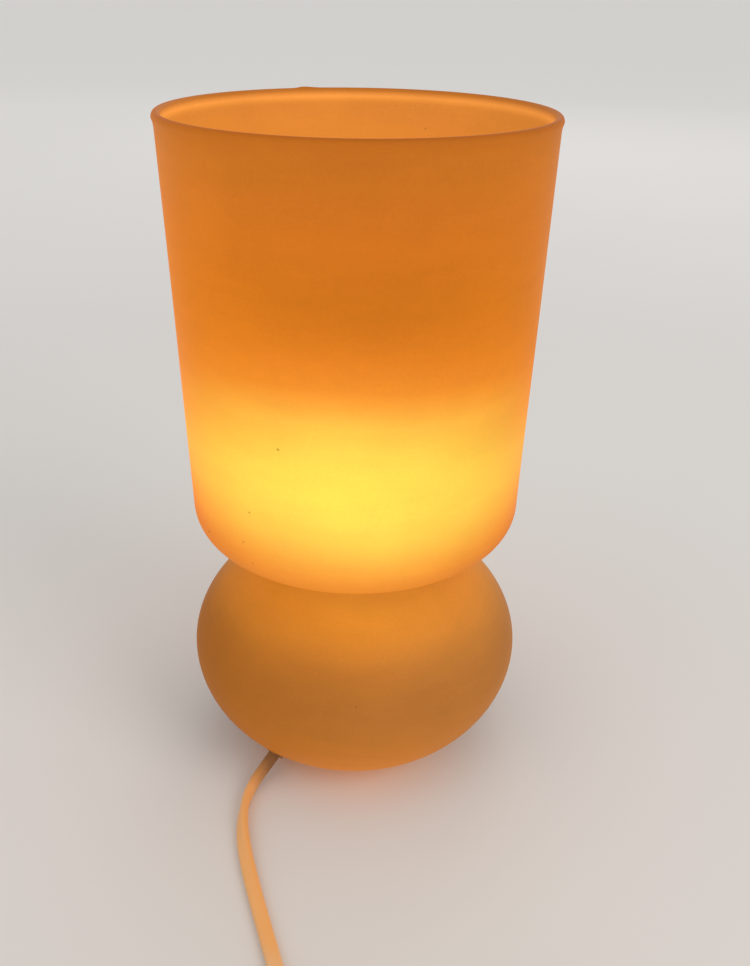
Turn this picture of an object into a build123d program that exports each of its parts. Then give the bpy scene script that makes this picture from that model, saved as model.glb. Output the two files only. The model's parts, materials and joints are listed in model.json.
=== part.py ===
from build123d import *

import os
from math import acos, asin, atan, cos, degrees, pi, radians, sin, sqrt, tan

os.makedirs("parts", exist_ok=True)

# Table lamp blown in one piece of glass: a tall cup, open at the top, on a squashed ball.
# Lengths are millimetres. The origin is the middle of the foot on the table, +Z is up,
# and the cord leaves low on the base towards -Y, to an inline switch, a coil and a plug.

# Glass body, outside sizes
glass_height = 245.0
glass_wall = 3.0
rim_radius = 65.5
lip_flare = 0.5
lip_flare_height = 5.0
lip_round_height = 1.8
cup_low_radius = 61.6
cup_low_height = 106.0
corner_radius = 13.6
corner_turn = 62.0
base_radius = 65.0
base_middle_height = 40.8
neck_radius = 28.0
neck_height = 6.6
neck_outer_fillet = 3.2
neck_inner_fillet = 3.0
foot_width = 3.55
foot_edge_round = 0.6

# Flat twin cord, drawn as a round tube of its width
cord_width = 5.2
cord_radius = cord_width / 2
conductor_radius = 0.9
conductor_spread = 1.3
cord_stub_length = 5.2

# Hole for the cord, low in the base, and the grommet in it
exit_azimuth = 230.1
exit_dip = 28.0
exit_height = 8.4
grommet_throat_radius = 3.6
grommet_flange_radius = 4.5
grommet_flange_thickness = 0.6
grommet_out = 1.3
grommet_in = 6.2
flange_arc_start = -70.0
flange_arc_turn = 60.0
hole_clearance = 0.2
seat_clearance = 0.1
cord_clearance = 0.1
inner_cord_bend = 26.0

# Clamped stack that holds the lampholder in the neck
gasket_thickness = 1.0
gasket_inset = 1.0
plate_thickness = 2.0
upper_plate_overlap = 7.5
upper_plate_margin = 0.3
lower_plate_overlap = 4.5
lower_plate_clearance = 1.0
lower_gasket_edge = 2.7
ring_nut_radius = 19.0
ring_nut_height = 4.0
ring_nut_notches = 8
ring_nut_notch = 2.4
nut_clearance = 0.1

# Lampholder
sleeve_radius = 14.0
sleeve_wall = 1.4
sleeve_length = 42.0
sleeve_rise = 16.0
mouth_wall = 1.6
mouth_clearance = 1.0
holder_depth = 20.0
insert_length = 32.0
insert_clearance = 0.2
cavity_depth = 4.0
chamber_radius = 3.0
chamber_depth = 5.5
stem_clearance = 0.25
thread_pitch = 2.822
shell_inner_radius = 7.15
shell_wall = 0.5
shell_ridge_radius = 0.7
shell_ridge_sink = 0.2
shell_ridge_turns = 3
shell_margin = 2.0
strip_thickness = 0.6
strip_half_width = 1.5
strip_overlap = 4.0
slot_clearance = 0.3
tab_reach = 3.8
tab_half_width = 2.2
terminal_spread = 6.0
terminal_screw_radius = 1.15
terminal_head_radius = 2.0
terminal_head_height = 1.2
terminal_screw_depth = 4.0
screw_clearance = 0.1
plunger_radius = 2.2
plunger_head_height = 1.6
plunger_stem_radius = 1.2
plunger_stem_length = 12.0
spring_radius = 1.9
spring_wire_radius = 0.25
spring_turns = 6
cap_depth = 8.0
cap_floor = 1.5
cap_edge_round = 2.0
spigot_height = 3.0
spigot_wall = 1.2
jacket_rise = 6.0
grip_boss_depth = 2.8
grip_boss_half_width = 8.0
grip_boss_height = 4.0
grip_bar_depth = 2.0
grip_screw_spread = 5.5
grip_screw_radius = 1.0
grip_head_radius = 1.8
grip_head_height = 1.2
holder_wire_bend = 1.5

# Globe bulb with a small screw cap
bulb_length = 78.0
globe_radius = 22.5
envelope_wall = 0.7
bulb_neck_radius = 7.2
bulb_neck_curve = 14.0
bulb_neck_in_cap = 2.5
tip_contact_radius = 2.2
tip_contact_height = 1.0
cap_insulator_height = 2.2
cap_insulator_top_radius = 6.0
cap_insulator_edge = 0.5
screw_cap_radius = 6.15
screw_cap_wall = 0.35
screw_cap_length = 17.5
screw_cap_straight = 13.3
screw_cap_flare = 1.5
screw_ridge_radius = 0.9
screw_ridge_sink = 0.2
screw_ridge_turns = 4
screw_ridge_margin = 1.7
stem_flare_height = 6.0
stem_rod_radius = 2.2
stem_rise = 20.0
bulb_lead_radius = 0.3
bulb_lead_spread = 7.0
bulb_lead_root_spread = 1.2
bulb_lead_length = 14.0
filament_radius = 0.5
filament_rise = 3.0

# Inline rocker switch
switch_x = -21.0
switch_y = -181.0
switch_length = 60.0
switch_width = 24.0
switch_base_height = 8.4
switch_cover_height = 6.2
switch_wall = 1.6
switch_floor = 1.7
switch_corner = 5.0
switch_edge_round = 1.8
switch_bottom_round = 0.8
rocker_radius = 10.2
rocker_half_width = 5.5
rocker_tilt = 9.0
rocker_crest = 3.6
rocker_under = 3.0
rocker_edge_round = 0.5
rocker_clearance = 0.4
axle_radius = 1.2
axle_clearance = 0.05
axle_drop = 4.0
cheek_thickness = 2.0
cheek_half_length = 4.0
blade_thickness = 0.8
blade_half_width = 2.0
blade_reach = 9.0
blade_tail = 2.5
contact_gap = 0.3
post_half_length = 1.5
end_post_place = 7.3
end_post_half_length = 1.1
switch_boss_radius = 3.2
switch_boss_place = 22.0
switch_boss_merge = 0.6
switch_screw_radius = 1.15
switch_head_radius = 2.3
switch_head_height = 1.2
switch_head_recess = 2.0
switch_screw_length = 10.5
cord_end_length = 11.0
clamp_place = 24.0
clamp_half_width = 3.8
clamp_half_length = 1.5
clamp_thickness = 1.3
neutral_spread = 6.0
neutral_turn_in = 6.0
neutral_bend = 4.0

# Flat plug with two round pins, pointing towards +Y and past the side of the lamp's base
plug_x = 62.0
plug_front_y = -157.0
plug_length = 36.0
plug_thickness = 13.7
plug_half_width = 17.0
plug_front_half_width = 13.2
plug_rear_half_width = 7.0
plug_shoulder = 9.0
plug_waist = 21.0
plug_corner = 3.5
plug_edge_round = 3.0
pin_spread = 9.3
pin_radius = 2.0
pin_length = 19.0
pin_bare_length = 9.0
pin_tip_round = 1.0
pin_core_radius = 1.5
pin_root = 10.0
pin_sleeve_radius = 1.8
pin_sleeve_root = 3.0
press_clearance = 0.05
relief_length = 20.0
relief_front_radius = 5.0
relief_rear_radius = 3.6
relief_grooves = 4
relief_groove_width = 1.6
relief_groove_depth = 0.7
relief_groove_margin = 4.0
relief_root = 2.0

# Coil of the cord that is put away: it winds in on the table and out on top of that
coil_radius = 40.0
coil_pitch = 5.7
coil_layer_rise = 5.7
coil_half_turns = 6
coil_left_x = -30.0
coil_middle_y = -258.0
gap_steps = 1400

overrun = 2.0

# Heights and radii that follow from the sizes above
wall_lean = degrees(atan((rim_radius - cup_low_radius) / (glass_height - cup_low_height)))
corner_middle_radius = cup_low_radius - corner_radius * cos(radians(wall_lean))
corner_middle_height = cup_low_height + corner_radius * sin(radians(wall_lean))
passage_radius = neck_radius - glass_wall
upper_plate_radius = passage_radius + upper_plate_overlap
lower_plate_radius = passage_radius + lower_plate_overlap
foot_opening_radius = lower_plate_radius + lower_plate_clearance
foot_radius = foot_opening_radius + foot_width
floor_middle_radius = upper_plate_radius + upper_plate_margin
floor_reach = (corner_middle_radius - floor_middle_radius) / cos(radians(corner_turn))
floor_curve_radius = corner_radius + floor_reach
floor_middle_height = corner_middle_height + floor_reach * sin(radians(corner_turn))
cup_underside = floor_middle_height - floor_curve_radius
cup_floor_top = cup_underside + glass_wall
neck_rise = cup_underside - neck_height - base_middle_height
base_upper_half = neck_rise / sqrt(1 - (neck_radius / base_radius) ** 2)
base_lower_half = base_middle_height / sqrt(1 - (foot_radius / base_radius) ** 2)
exit_radius = base_radius * sqrt(1 - ((base_middle_height - exit_height) / base_lower_half) ** 2)
lip_start_height = glass_height - lip_flare_height

holder_top = cup_floor_top + sleeve_rise
holder_bottom = holder_top - sleeve_length
bulb_tip_height = holder_top - holder_depth
bulb_top_height = bulb_tip_height + bulb_length
insert_top = holder_top - mouth_wall - insert_clearance
insert_bottom = insert_top - insert_length
cavity_floor = bulb_tip_height - cavity_depth
chamber_floor = cavity_floor - chamber_depth
cavity_radius = shell_inner_radius + 2 * shell_ridge_radius + insert_clearance
screw_cap_bottom = bulb_tip_height + tip_contact_height + cap_insulator_height
screw_cap_top = screw_cap_bottom + screw_cap_length
screw_ridge_bottom = screw_cap_bottom + screw_ridge_margin
shell_ridge_bottom = screw_ridge_bottom + thread_pitch / 2
shell_bottom = shell_ridge_bottom - shell_margin
shell_top = shell_ridge_bottom + shell_ridge_turns * thread_pitch + shell_margin / 2
screw_cap_top_radius = bulb_neck_radius + press_clearance + screw_cap_wall
mouth_radius = screw_cap_top_radius + mouth_clearance

exit_heading = (
    cos(radians(exit_azimuth)) * cos(radians(exit_dip)),
    sin(radians(exit_azimuth)) * cos(radians(exit_dip)),
    -sin(radians(exit_dip)),
)
exit_point = (
    exit_radius * cos(radians(exit_azimuth)),
    exit_radius * sin(radians(exit_azimuth)),
    exit_height,
)
exit_plane = Plane(origin=exit_point, z_dir=exit_heading)

cord_entry_height = switch_floor + cord_clearance + cord_radius
switch_top = switch_base_height + switch_cover_height
axle_height = switch_top - axle_drop
switch_plane = Plane(origin=(switch_x, switch_y, 0))
plug_axis_height = plug_thickness / 2
plug_rear_y = plug_front_y - plug_length
relief_rear_y = plug_rear_y - relief_length


def inner_base_height(radius, inset):
    """Height of the upper inside of the base at a radius, with the wall's thickness as inset."""
    share = radius / (base_radius - inset)
    return base_middle_height + (base_upper_half - inset) * sqrt(1 - share**2)


def draw_glass_side(inset, start_radius, neck):
    """Draws the outside or inside of the glass, from low on the base up to the end of the wall."""
    across = base_radius - inset
    low = -degrees(acos(start_radius / across))
    high = degrees(acos(neck / across))
    middle = (0, base_middle_height)
    floor_height = cup_underside + inset
    EllipticalCenterArc(middle, across, base_lower_half - inset, low, arc_size=-low)
    upper = EllipticalCenterArc(middle, across, base_upper_half - inset, 0, arc_size=high)
    Line(upper @ 1, (neck, floor_height))
    Line((neck, floor_height), (floor_middle_radius, floor_height))
    CenterArc(
        (floor_middle_radius, floor_middle_height),
        floor_curve_radius - inset,
        -90,
        90 - corner_turn,
    )
    corner = CenterArc(
        (corner_middle_radius, corner_middle_height),
        corner_radius - inset,
        -corner_turn,
        corner_turn - wall_lean,
    )
    top = lip_start_height if inset == 0 else glass_height - lip_round_height
    rise = top - (corner @ 1).Y
    return Line(corner @ 1, corner @ 1 + Vector(rise * tan(radians(wall_lean)), rise))


def ring(plane, outer, inner, height):
    """A flat ring that stands on the plane, added to the part that is being built."""
    with BuildSketch(plane) as outline:
        Circle(outer)
        Circle(inner, mode=Mode.SUBTRACT)
    extrude(outline.sketch, amount=height)


def rounded_block(plane, width, length, corner, height, mode=Mode.ADD):
    """A block with round upright corners that stands on the plane."""
    with BuildSketch(plane) as outline:
        RectangleRounded(width, length, corner)
    extrude(outline.sketch, amount=height, mode=mode)


def block(plane, width, length, height, mode=Mode.ADD):
    """A plain block that stands on the plane, with its middle on the plane's origin."""
    with BuildSketch(plane) as outline:
        Rectangle(width, length)
    extrude(outline.sketch, amount=height, mode=mode)


def route_radii(points):
    """The radius of each corner of a cord's route: as large as its two runs allow."""
    spots = [Vector(*point) for point in points]
    bend_share = 0.45
    radii = []
    for before, here, after in zip(spots, spots[1:], spots[2:]):
        turn = (here - before).get_angle(after - here)
        shorter = min((here - before).length, (after - here).length)
        radii.append(bend_share * shorter / tan(radians(turn / 2)))
    return radii


def least_gap(wire, diameter, steps):
    """Least gap between stretches of a tube that are more than a few diameters apart along it."""
    length = wire.length
    spots = [wire.position_at(step / steps) for step in range(steps + 1)]
    skip = int(3 * diameter / length * steps)
    gaps = [
        (spots[first] - spots[second]).length - diameter
        for first in range(len(spots))
        for second in range(first + skip, len(spots))
    ]
    return min(gaps)


# Glass body: cup, neck and base are one wall of glass
with BuildPart() as glass_body:
    with BuildSketch(Plane.XZ) as glass_section:
        with BuildLine():
            outer_wall = draw_glass_side(0, foot_radius, neck_radius)
            inner_wall = draw_glass_side(glass_wall, foot_opening_radius, passage_radius)
            lip_outside = (rim_radius + lip_flare, glass_height - lip_round_height)
            TangentArc(outer_wall @ 1, lip_outside, tangent=outer_wall % 1)
            lip_middle = ((lip_outside[0] + (inner_wall @ 1).X) / 2, glass_height)
            ThreePointArc(lip_outside, lip_middle, inner_wall @ 1)
            inner_foot_height = base_middle_height - (base_lower_half - glass_wall) * sqrt(
                1 - (foot_opening_radius / (base_radius - glass_wall)) ** 2
            )
            Polyline(
                (foot_radius, 0), (foot_opening_radius, 0), (foot_opening_radius, inner_foot_height)
            )
        make_face()
        neck_corners = [
            (neck_radius, inner_base_height(neck_radius, 0), neck_outer_fillet),
            (neck_radius, cup_underside, neck_outer_fillet),
            (passage_radius, inner_base_height(passage_radius, glass_wall), neck_inner_fillet),
            (passage_radius, cup_floor_top, neck_inner_fillet),
            (foot_radius, 0, foot_edge_round),
            (foot_opening_radius, 0, foot_edge_round),
        ]
        for corner_x, corner_y, round_radius in neck_corners:
            fillet(vertices().sort_by_distance((corner_x, corner_y, 0))[0], round_radius)
    revolve(axis=Axis.Z)
    with BuildSketch(exit_plane):
        Circle(grommet_throat_radius + hole_clearance)
    extrude(amount=grommet_in, both=True, mode=Mode.SUBTRACT)
glass_body.part.label = "glass_body"
export_step(glass_body.part, "parts/glass_body.step")

# Grommet: a soft bush with a flange on each side of the glass
with BuildPart() as cord_grommet:
    for inner_inset, outer_inset in (
        (-seat_clearance, -seat_clearance - grommet_flange_thickness),
        (glass_wall + seat_clearance + grommet_flange_thickness, glass_wall + seat_clearance),
    ):
        with BuildSketch(Plane.XZ):
            with BuildLine():
                inside = EllipticalCenterArc(
                    (0, base_middle_height),
                    base_radius - inner_inset,
                    base_lower_half - inner_inset,
                    flange_arc_start,
                    arc_size=flange_arc_turn,
                )
                outside = EllipticalCenterArc(
                    (0, base_middle_height),
                    base_radius - outer_inset,
                    base_lower_half - outer_inset,
                    flange_arc_start,
                    arc_size=flange_arc_turn,
                )
                Line(inside @ 0, outside @ 0)
                Line(inside @ 1, outside @ 1)
            make_face()
        revolve(axis=Axis.Z)
    with BuildSketch(exit_plane):
        Circle(grommet_flange_radius)
    extrude(amount=grommet_in + grommet_out, both=True, mode=Mode.INTERSECT)
    with BuildSketch(exit_plane.offset(-grommet_in)):
        Circle(grommet_throat_radius)
    extrude(amount=grommet_in + grommet_out)
    with BuildSketch(exit_plane):
        Circle(cord_radius + cord_clearance)
    extrude(amount=grommet_in + grommet_out, both=True, mode=Mode.SUBTRACT)
cord_grommet.part.label = "cord_grommet"
export_step(cord_grommet.part, "parts/cord_grommet.step")

# Upper gasket, plate and ring nut, on the floor of the cup
with BuildPart() as upper_gasket:
    ring(
        Plane.XY.offset(cup_floor_top),
        upper_plate_radius,
        passage_radius + gasket_inset,
        gasket_thickness,
    )
upper_gasket.part.label = "upper_gasket"
export_step(upper_gasket.part, "parts/upper_gasket.step")

upper_plate_height = cup_floor_top + gasket_thickness
with BuildPart() as upper_plate:
    ring(
        Plane.XY.offset(upper_plate_height),
        upper_plate_radius,
        sleeve_radius + nut_clearance,
        plate_thickness,
    )
upper_plate.part.label = "upper_plate"
export_step(upper_plate.part, "parts/upper_plate.step")


def ring_nut(height):
    """Ring nut on the lampholder's sleeve, with notches for a key round its edge."""
    ring(Plane.XY.offset(height), ring_nut_radius, sleeve_radius + nut_clearance, ring_nut_height)
    with BuildSketch(Plane.XY.offset(height)) as notches:
        with PolarLocations(ring_nut_radius, ring_nut_notches):
            Circle(ring_nut_notch / 2)
    extrude(notches.sketch, amount=ring_nut_height, mode=Mode.SUBTRACT)


with BuildPart() as upper_ring_nut:
    ring_nut(upper_plate_height + plate_thickness)
upper_ring_nut.part.label = "upper_ring_nut"
export_step(upper_ring_nut.part, "parts/upper_ring_nut.step")

# Lower gasket, plate and ring nut, under the neck
lower_plate_top = inner_base_height(lower_plate_radius, glass_wall) - lower_gasket_edge
gasket_across = base_radius - glass_wall - seat_clearance
gasket_low = degrees(acos(lower_plate_radius / gasket_across))
gasket_high = degrees(acos((passage_radius + gasket_inset) / gasket_across))
with BuildPart() as lower_gasket:
    with BuildSketch(Plane.XZ):
        with BuildLine():
            top_arc = EllipticalCenterArc(
                (0, base_middle_height),
                gasket_across,
                base_upper_half - glass_wall - seat_clearance,
                gasket_low,
                arc_size=gasket_high - gasket_low,
            )
            Polyline(
                top_arc @ 1,
                (passage_radius + gasket_inset, lower_plate_top),
                (lower_plate_radius, lower_plate_top),
                top_arc @ 0,
            )
        make_face()
    revolve(axis=Axis.Z)
lower_gasket.part.label = "lower_gasket"
export_step(lower_gasket.part, "parts/lower_gasket.step")

lower_plate_height = lower_plate_top - plate_thickness
with BuildPart() as lower_plate:
    ring(
        Plane.XY.offset(lower_plate_height),
        lower_plate_radius,
        sleeve_radius + nut_clearance,
        plate_thickness,
    )
lower_plate.part.label = "lower_plate"
export_step(lower_plate.part, "parts/lower_plate.step")

with BuildPart() as lower_ring_nut:
    ring_nut(lower_plate_height - ring_nut_height)
lower_ring_nut.part.label = "lower_ring_nut"
export_step(lower_ring_nut.part, "parts/lower_ring_nut.step")

# Sleeve of the lampholder, with a mouth that the bulb's cap passes
with BuildPart() as holder_sleeve:
    ring(
        Plane.XY.offset(holder_bottom),
        sleeve_radius,
        sleeve_radius - sleeve_wall,
        sleeve_length,
    )
    ring(Plane.XY.offset(holder_top - mouth_wall), sleeve_radius, mouth_radius, mouth_wall)
    fillet(
        edges().filter_by(GeomType.CIRCLE).group_by(Axis.Z)[-1].sort_by(SortBy.RADIUS)[-1],
        mouth_wall / 2,
    )
holder_sleeve.part.label = "holder_sleeve"
export_step(holder_sleeve.part, "parts/holder_sleeve.step")

# Insulating insert that carries the threaded shell and the contacts
insert_radius = sleeve_radius - sleeve_wall - insert_clearance
strip_inner = shell_inner_radius + 2 * shell_ridge_radius - shell_ridge_sink + slot_clearance
strip_outer = strip_inner + strip_thickness
strip_top = shell_bottom + strip_overlap
with BuildPart() as holder_insert:
    with BuildSketch(Plane.XY.offset(insert_bottom)):
        Circle(insert_radius)
    extrude(amount=insert_top - insert_bottom)
    with BuildSketch(Plane.XY.offset(cavity_floor)):
        Circle(cavity_radius)
    extrude(amount=insert_top - cavity_floor, mode=Mode.SUBTRACT)
    with BuildSketch(Plane.XY.offset(chamber_floor)):
        Circle(chamber_radius)
    extrude(amount=cavity_floor - chamber_floor, mode=Mode.SUBTRACT)
    with BuildSketch(Plane.XY.offset(insert_bottom)):
        Circle(plunger_stem_radius + stem_clearance)
    extrude(amount=chamber_floor - insert_bottom, mode=Mode.SUBTRACT)
    with BuildSketch(Plane.XY.offset(insert_bottom)):
        with Locations(((strip_inner + strip_outer) / 2, 0)):
            Rectangle(
                strip_thickness + 2 * slot_clearance, 2 * (strip_half_width + slot_clearance)
            )
    extrude(amount=strip_top + slot_clearance - insert_bottom, mode=Mode.SUBTRACT)
    with BuildSketch(Plane.XY.offset(insert_bottom)):
        with Locations((terminal_spread, 0), (-terminal_spread, 0)):
            Circle(terminal_screw_radius + screw_clearance)
    extrude(amount=terminal_screw_depth + screw_clearance, mode=Mode.SUBTRACT)
holder_insert.part.label = "holder_insert"
export_step(holder_insert.part, "parts/holder_insert.step")

# Threaded shell in the holder
shell_helix_radius = shell_inner_radius + shell_ridge_sink
with BuildPart() as socket_shell:
    ring(
        Plane.XY.offset(shell_bottom),
        shell_inner_radius + shell_wall,
        shell_inner_radius,
        shell_top - shell_bottom,
    )
    with BuildLine():
        shell_helix = Helix(
            thread_pitch,
            shell_ridge_turns * thread_pitch,
            shell_helix_radius,
            center=(0, 0, shell_ridge_bottom),
        )
    with BuildSketch(Plane(origin=shell_helix @ 0, z_dir=shell_helix % 0)):
        Circle(shell_ridge_radius)
    sweep(is_frenet=True)
socket_shell.part.label = "socket_shell"
export_step(socket_shell.part, "parts/socket_shell.step")

# Side contact: a strip beside the shell with a tab under the insert
with BuildPart() as side_contact:
    with BuildSketch(Plane.XY.offset(insert_bottom - strip_thickness)):
        with Locations(((strip_inner + strip_outer) / 2, 0)):
            Rectangle(strip_thickness, 2 * strip_half_width)
    extrude(amount=strip_top - insert_bottom + strip_thickness)
    with BuildSketch(Plane.XY.offset(insert_bottom - strip_thickness)):
        with Locations(((tab_reach + strip_outer) / 2, 0)):
            Rectangle(strip_outer - tab_reach, 2 * tab_half_width)
        with Locations((terminal_spread, 0)):
            Circle(terminal_screw_radius + screw_clearance, mode=Mode.SUBTRACT)
    extrude(amount=strip_thickness)
side_contact.part.label = "side_contact"
export_step(side_contact.part, "parts/side_contact.step")

# Tab that takes the current from the centre contact
with BuildPart() as centre_terminal:
    centre_tab_inner = plunger_stem_radius + stem_clearance
    with BuildSketch(Plane.XY.offset(insert_bottom - strip_thickness)):
        with Locations((-(centre_tab_inner + strip_outer) / 2, 0)):
            Rectangle(strip_outer - centre_tab_inner, 2 * tab_half_width)
        with Locations((-terminal_spread, 0)):
            Circle(terminal_screw_radius + screw_clearance, mode=Mode.SUBTRACT)
    extrude(amount=strip_thickness)
centre_terminal.part.label = "centre_terminal"
export_step(centre_terminal.part, "parts/centre_terminal.step")

terminal_head_bottom = insert_bottom - strip_thickness - terminal_head_height
with BuildPart() as terminal_screws:
    with BuildSketch(Plane.XY.offset(terminal_head_bottom)):
        with Locations((terminal_spread, 0), (-terminal_spread, 0)):
            Circle(terminal_head_radius)
    extrude(amount=terminal_head_height)
    with BuildSketch(Plane.XY.offset(terminal_head_bottom)):
        with Locations((terminal_spread, 0), (-terminal_spread, 0)):
            Circle(terminal_screw_radius)
    extrude(amount=terminal_head_height + strip_thickness + terminal_screw_depth)
terminal_screws.part.label = "terminal_screws"
export_step(terminal_screws.part, "parts/terminal_screws.step")

# Sprung centre contact
plunger_head_bottom = bulb_tip_height - plunger_head_height
with BuildPart() as contact_plunger:
    with BuildSketch(Plane.XY.offset(plunger_head_bottom)):
        Circle(plunger_radius)
    extrude(amount=plunger_head_height)
    with BuildSketch(Plane.XY.offset(plunger_head_bottom - plunger_stem_length)):
        Circle(plunger_stem_radius)
    extrude(amount=plunger_stem_length)
contact_plunger.part.label = "contact_plunger"
export_step(contact_plunger.part, "parts/contact_plunger.step")

spring_margin = spring_wire_radius + cord_clearance
spring_bottom = chamber_floor + spring_margin
spring_height = plunger_head_bottom - spring_margin - spring_bottom
with BuildPart() as contact_spring:
    with BuildLine():
        spring_helix = Helix(
            spring_height / spring_turns, spring_height, spring_radius, center=(0, 0, spring_bottom)
        )
    with BuildSketch(Plane(origin=spring_helix @ 0, z_dir=spring_helix % 0)):
        Circle(spring_wire_radius)
    sweep(is_frenet=True)
contact_spring.part.label = "contact_spring"
export_step(contact_spring.part, "parts/contact_spring.step")

# Cap that closes the holder, with bosses for the cord grip
cap_bottom = holder_bottom - cap_depth
cap_inside = cap_bottom + cap_floor
spigot_radius = sleeve_radius - sleeve_wall - nut_clearance
grip_bar_inner = cord_radius + cord_clearance
with BuildPart() as holder_cap:
    with BuildSketch(Plane.XY.offset(cap_bottom)):
        Circle(sleeve_radius)
    extrude(amount=cap_depth)
    fillet(edges().group_by(Axis.Z)[0], cap_edge_round)
    with BuildSketch(Plane.XY.offset(holder_bottom)):
        Circle(spigot_radius)
    extrude(amount=spigot_height)
    with BuildSketch(Plane.XY.offset(cap_inside)):
        Circle(spigot_radius - spigot_wall)
    extrude(amount=cap_depth + spigot_height - cap_floor, mode=Mode.SUBTRACT)
    with BuildSketch(Plane.XY.offset(cap_inside)):
        with Locations((0, -grip_bar_inner - grip_boss_depth / 2)):
            Rectangle(2 * grip_boss_half_width, grip_boss_depth)
    extrude(amount=grip_boss_height)
    with BuildSketch(Plane.XY.offset(cap_bottom)):
        Circle(cord_radius + cord_clearance)
    extrude(amount=cap_floor, mode=Mode.SUBTRACT)
    with BuildSketch(Plane.XZ.offset(grip_bar_inner)):
        with Locations(
            (grip_screw_spread, cap_inside + grip_boss_height / 2),
            (-grip_screw_spread, cap_inside + grip_boss_height / 2),
        ):
            Circle(grip_screw_radius + screw_clearance)
    extrude(amount=grip_boss_depth, mode=Mode.SUBTRACT)
holder_cap.part.label = "holder_cap"
export_step(holder_cap.part, "parts/holder_cap.step")

with BuildPart() as cord_grip:
    with BuildSketch(Plane.XZ.offset(-grip_bar_inner)):
        with Locations((0, cap_inside + grip_boss_height / 2)):
            Rectangle(2 * grip_boss_half_width, grip_boss_height - 2 * cord_clearance)
        with Locations(
            (grip_screw_spread, cap_inside + grip_boss_height / 2),
            (-grip_screw_spread, cap_inside + grip_boss_height / 2),
        ):
            Circle(grip_screw_radius + screw_clearance, mode=Mode.SUBTRACT)
    extrude(amount=-grip_bar_depth)
cord_grip.part.label = "cord_grip"
export_step(cord_grip.part, "parts/cord_grip.step")

with BuildPart() as grip_screws:
    for screw_x in (grip_screw_spread, -grip_screw_spread):
        with BuildSketch(Plane.XZ.offset(-grip_bar_inner - grip_bar_depth)):
            with Locations((screw_x, cap_inside + grip_boss_height / 2)):
                Circle(grip_head_radius)
        extrude(amount=-grip_head_height)
        with BuildSketch(Plane.XZ.offset(-grip_bar_inner - grip_bar_depth)):
            with Locations((screw_x, cap_inside + grip_boss_height / 2)):
                Circle(grip_screw_radius)
        extrude(amount=grip_bar_depth + 2 * grip_bar_inner + grip_boss_depth)
grip_screws.part.label = "grip_screws"
export_step(grip_screws.part, "parts/grip_screws.step")

# Cord inside the lamp, from the grip down and out through the grommet
jacket_top = cap_bottom + jacket_rise
inner_cord_corner = exit_height + exit_radius * tan(radians(exit_dip))
inner_cord_end = Vector(*exit_point) + Vector(*exit_heading) * grommet_out
with BuildPart() as inner_cord:
    with BuildLine():
        inner_route = FilletPolyline(
            (0, 0, jacket_top),
            (0, 0, inner_cord_corner),
            inner_cord_end,
            radius=inner_cord_bend,
        )
    with BuildSketch(Plane(origin=inner_route @ 0, z_dir=inner_route % 0)):
        Circle(cord_radius)
    sweep()
inner_cord.part.label = "inner_cord"
export_step(inner_cord.part, "parts/inner_cord.step")

# Two conductors from the cord to the terminal screws
with BuildPart() as holder_wires:
    for side in (1, -1):
        with BuildLine():
            wire_route = FilletPolyline(
                (side * conductor_spread, 0, jacket_top),
                (side * conductor_spread, 0, jacket_top + 2 * holder_wire_bend),
                (side * terminal_spread, 0, terminal_head_bottom - 2 * holder_wire_bend),
                (side * terminal_spread, 0, terminal_head_bottom),
                radius=holder_wire_bend,
            )
        with BuildSketch(Plane(origin=wire_route @ 0, z_dir=wire_route % 0)):
            Circle(conductor_radius)
        sweep()
holder_wires.part.label = "holder_wires"
export_step(holder_wires.part, "parts/holder_wires.step")

# Bulb: tip contact, insulator and screw cap
with BuildPart() as bulb_tip_contact:
    with BuildSketch(Plane.XY.offset(bulb_tip_height)):
        Circle(tip_contact_radius)
    extrude(amount=tip_contact_height)
    fillet(edges().group_by(Axis.Z)[0], tip_contact_height / 2)
bulb_tip_contact.part.label = "bulb_tip_contact"
export_step(bulb_tip_contact.part, "parts/bulb_tip_contact.step")

cap_insulator_bottom = bulb_tip_height + tip_contact_height
with BuildPart() as bulb_cap_insulator:
    with BuildSketch(Plane.XZ):
        with BuildLine():
            Polyline(
                (0, cap_insulator_bottom),
                (tip_contact_radius + cap_insulator_edge, cap_insulator_bottom),
                (cap_insulator_top_radius, screw_cap_bottom),
                (0, screw_cap_bottom),
                close=True,
            )
        make_face()
    revolve(axis=Axis.Z)
bulb_cap_insulator.part.label = "bulb_cap_insulator"
export_step(bulb_cap_insulator.part, "parts/bulb_cap_insulator.step")

screw_flare_bottom = screw_cap_bottom + screw_cap_straight
screw_helix_radius = screw_cap_radius - screw_ridge_sink
with BuildPart() as bulb_cap:
    with BuildSketch(Plane.XZ):
        with BuildLine():
            Polyline(
                (screw_cap_radius, screw_cap_bottom),
                (screw_cap_radius, screw_flare_bottom),
                (screw_cap_top_radius, screw_flare_bottom + screw_cap_flare),
                (screw_cap_top_radius, screw_cap_top),
                (screw_cap_top_radius - screw_cap_wall, screw_cap_top),
                (screw_cap_top_radius - screw_cap_wall, screw_flare_bottom + screw_cap_flare),
                (screw_cap_radius - screw_cap_wall, screw_flare_bottom),
                (screw_cap_radius - screw_cap_wall, screw_cap_bottom),
                close=True,
            )
        make_face()
    revolve(axis=Axis.Z)
    with BuildLine():
        screw_helix = Helix(
            thread_pitch,
            screw_ridge_turns * thread_pitch,
            screw_helix_radius,
            center=(0, 0, screw_ridge_bottom),
        )
    with BuildSketch(Plane(origin=screw_helix @ 0, z_dir=screw_helix % 0)):
        Circle(screw_ridge_radius)
    sweep(is_frenet=True)
bulb_cap.part.label = "bulb_cap"
export_step(bulb_cap.part, "parts/bulb_cap.step")

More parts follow.
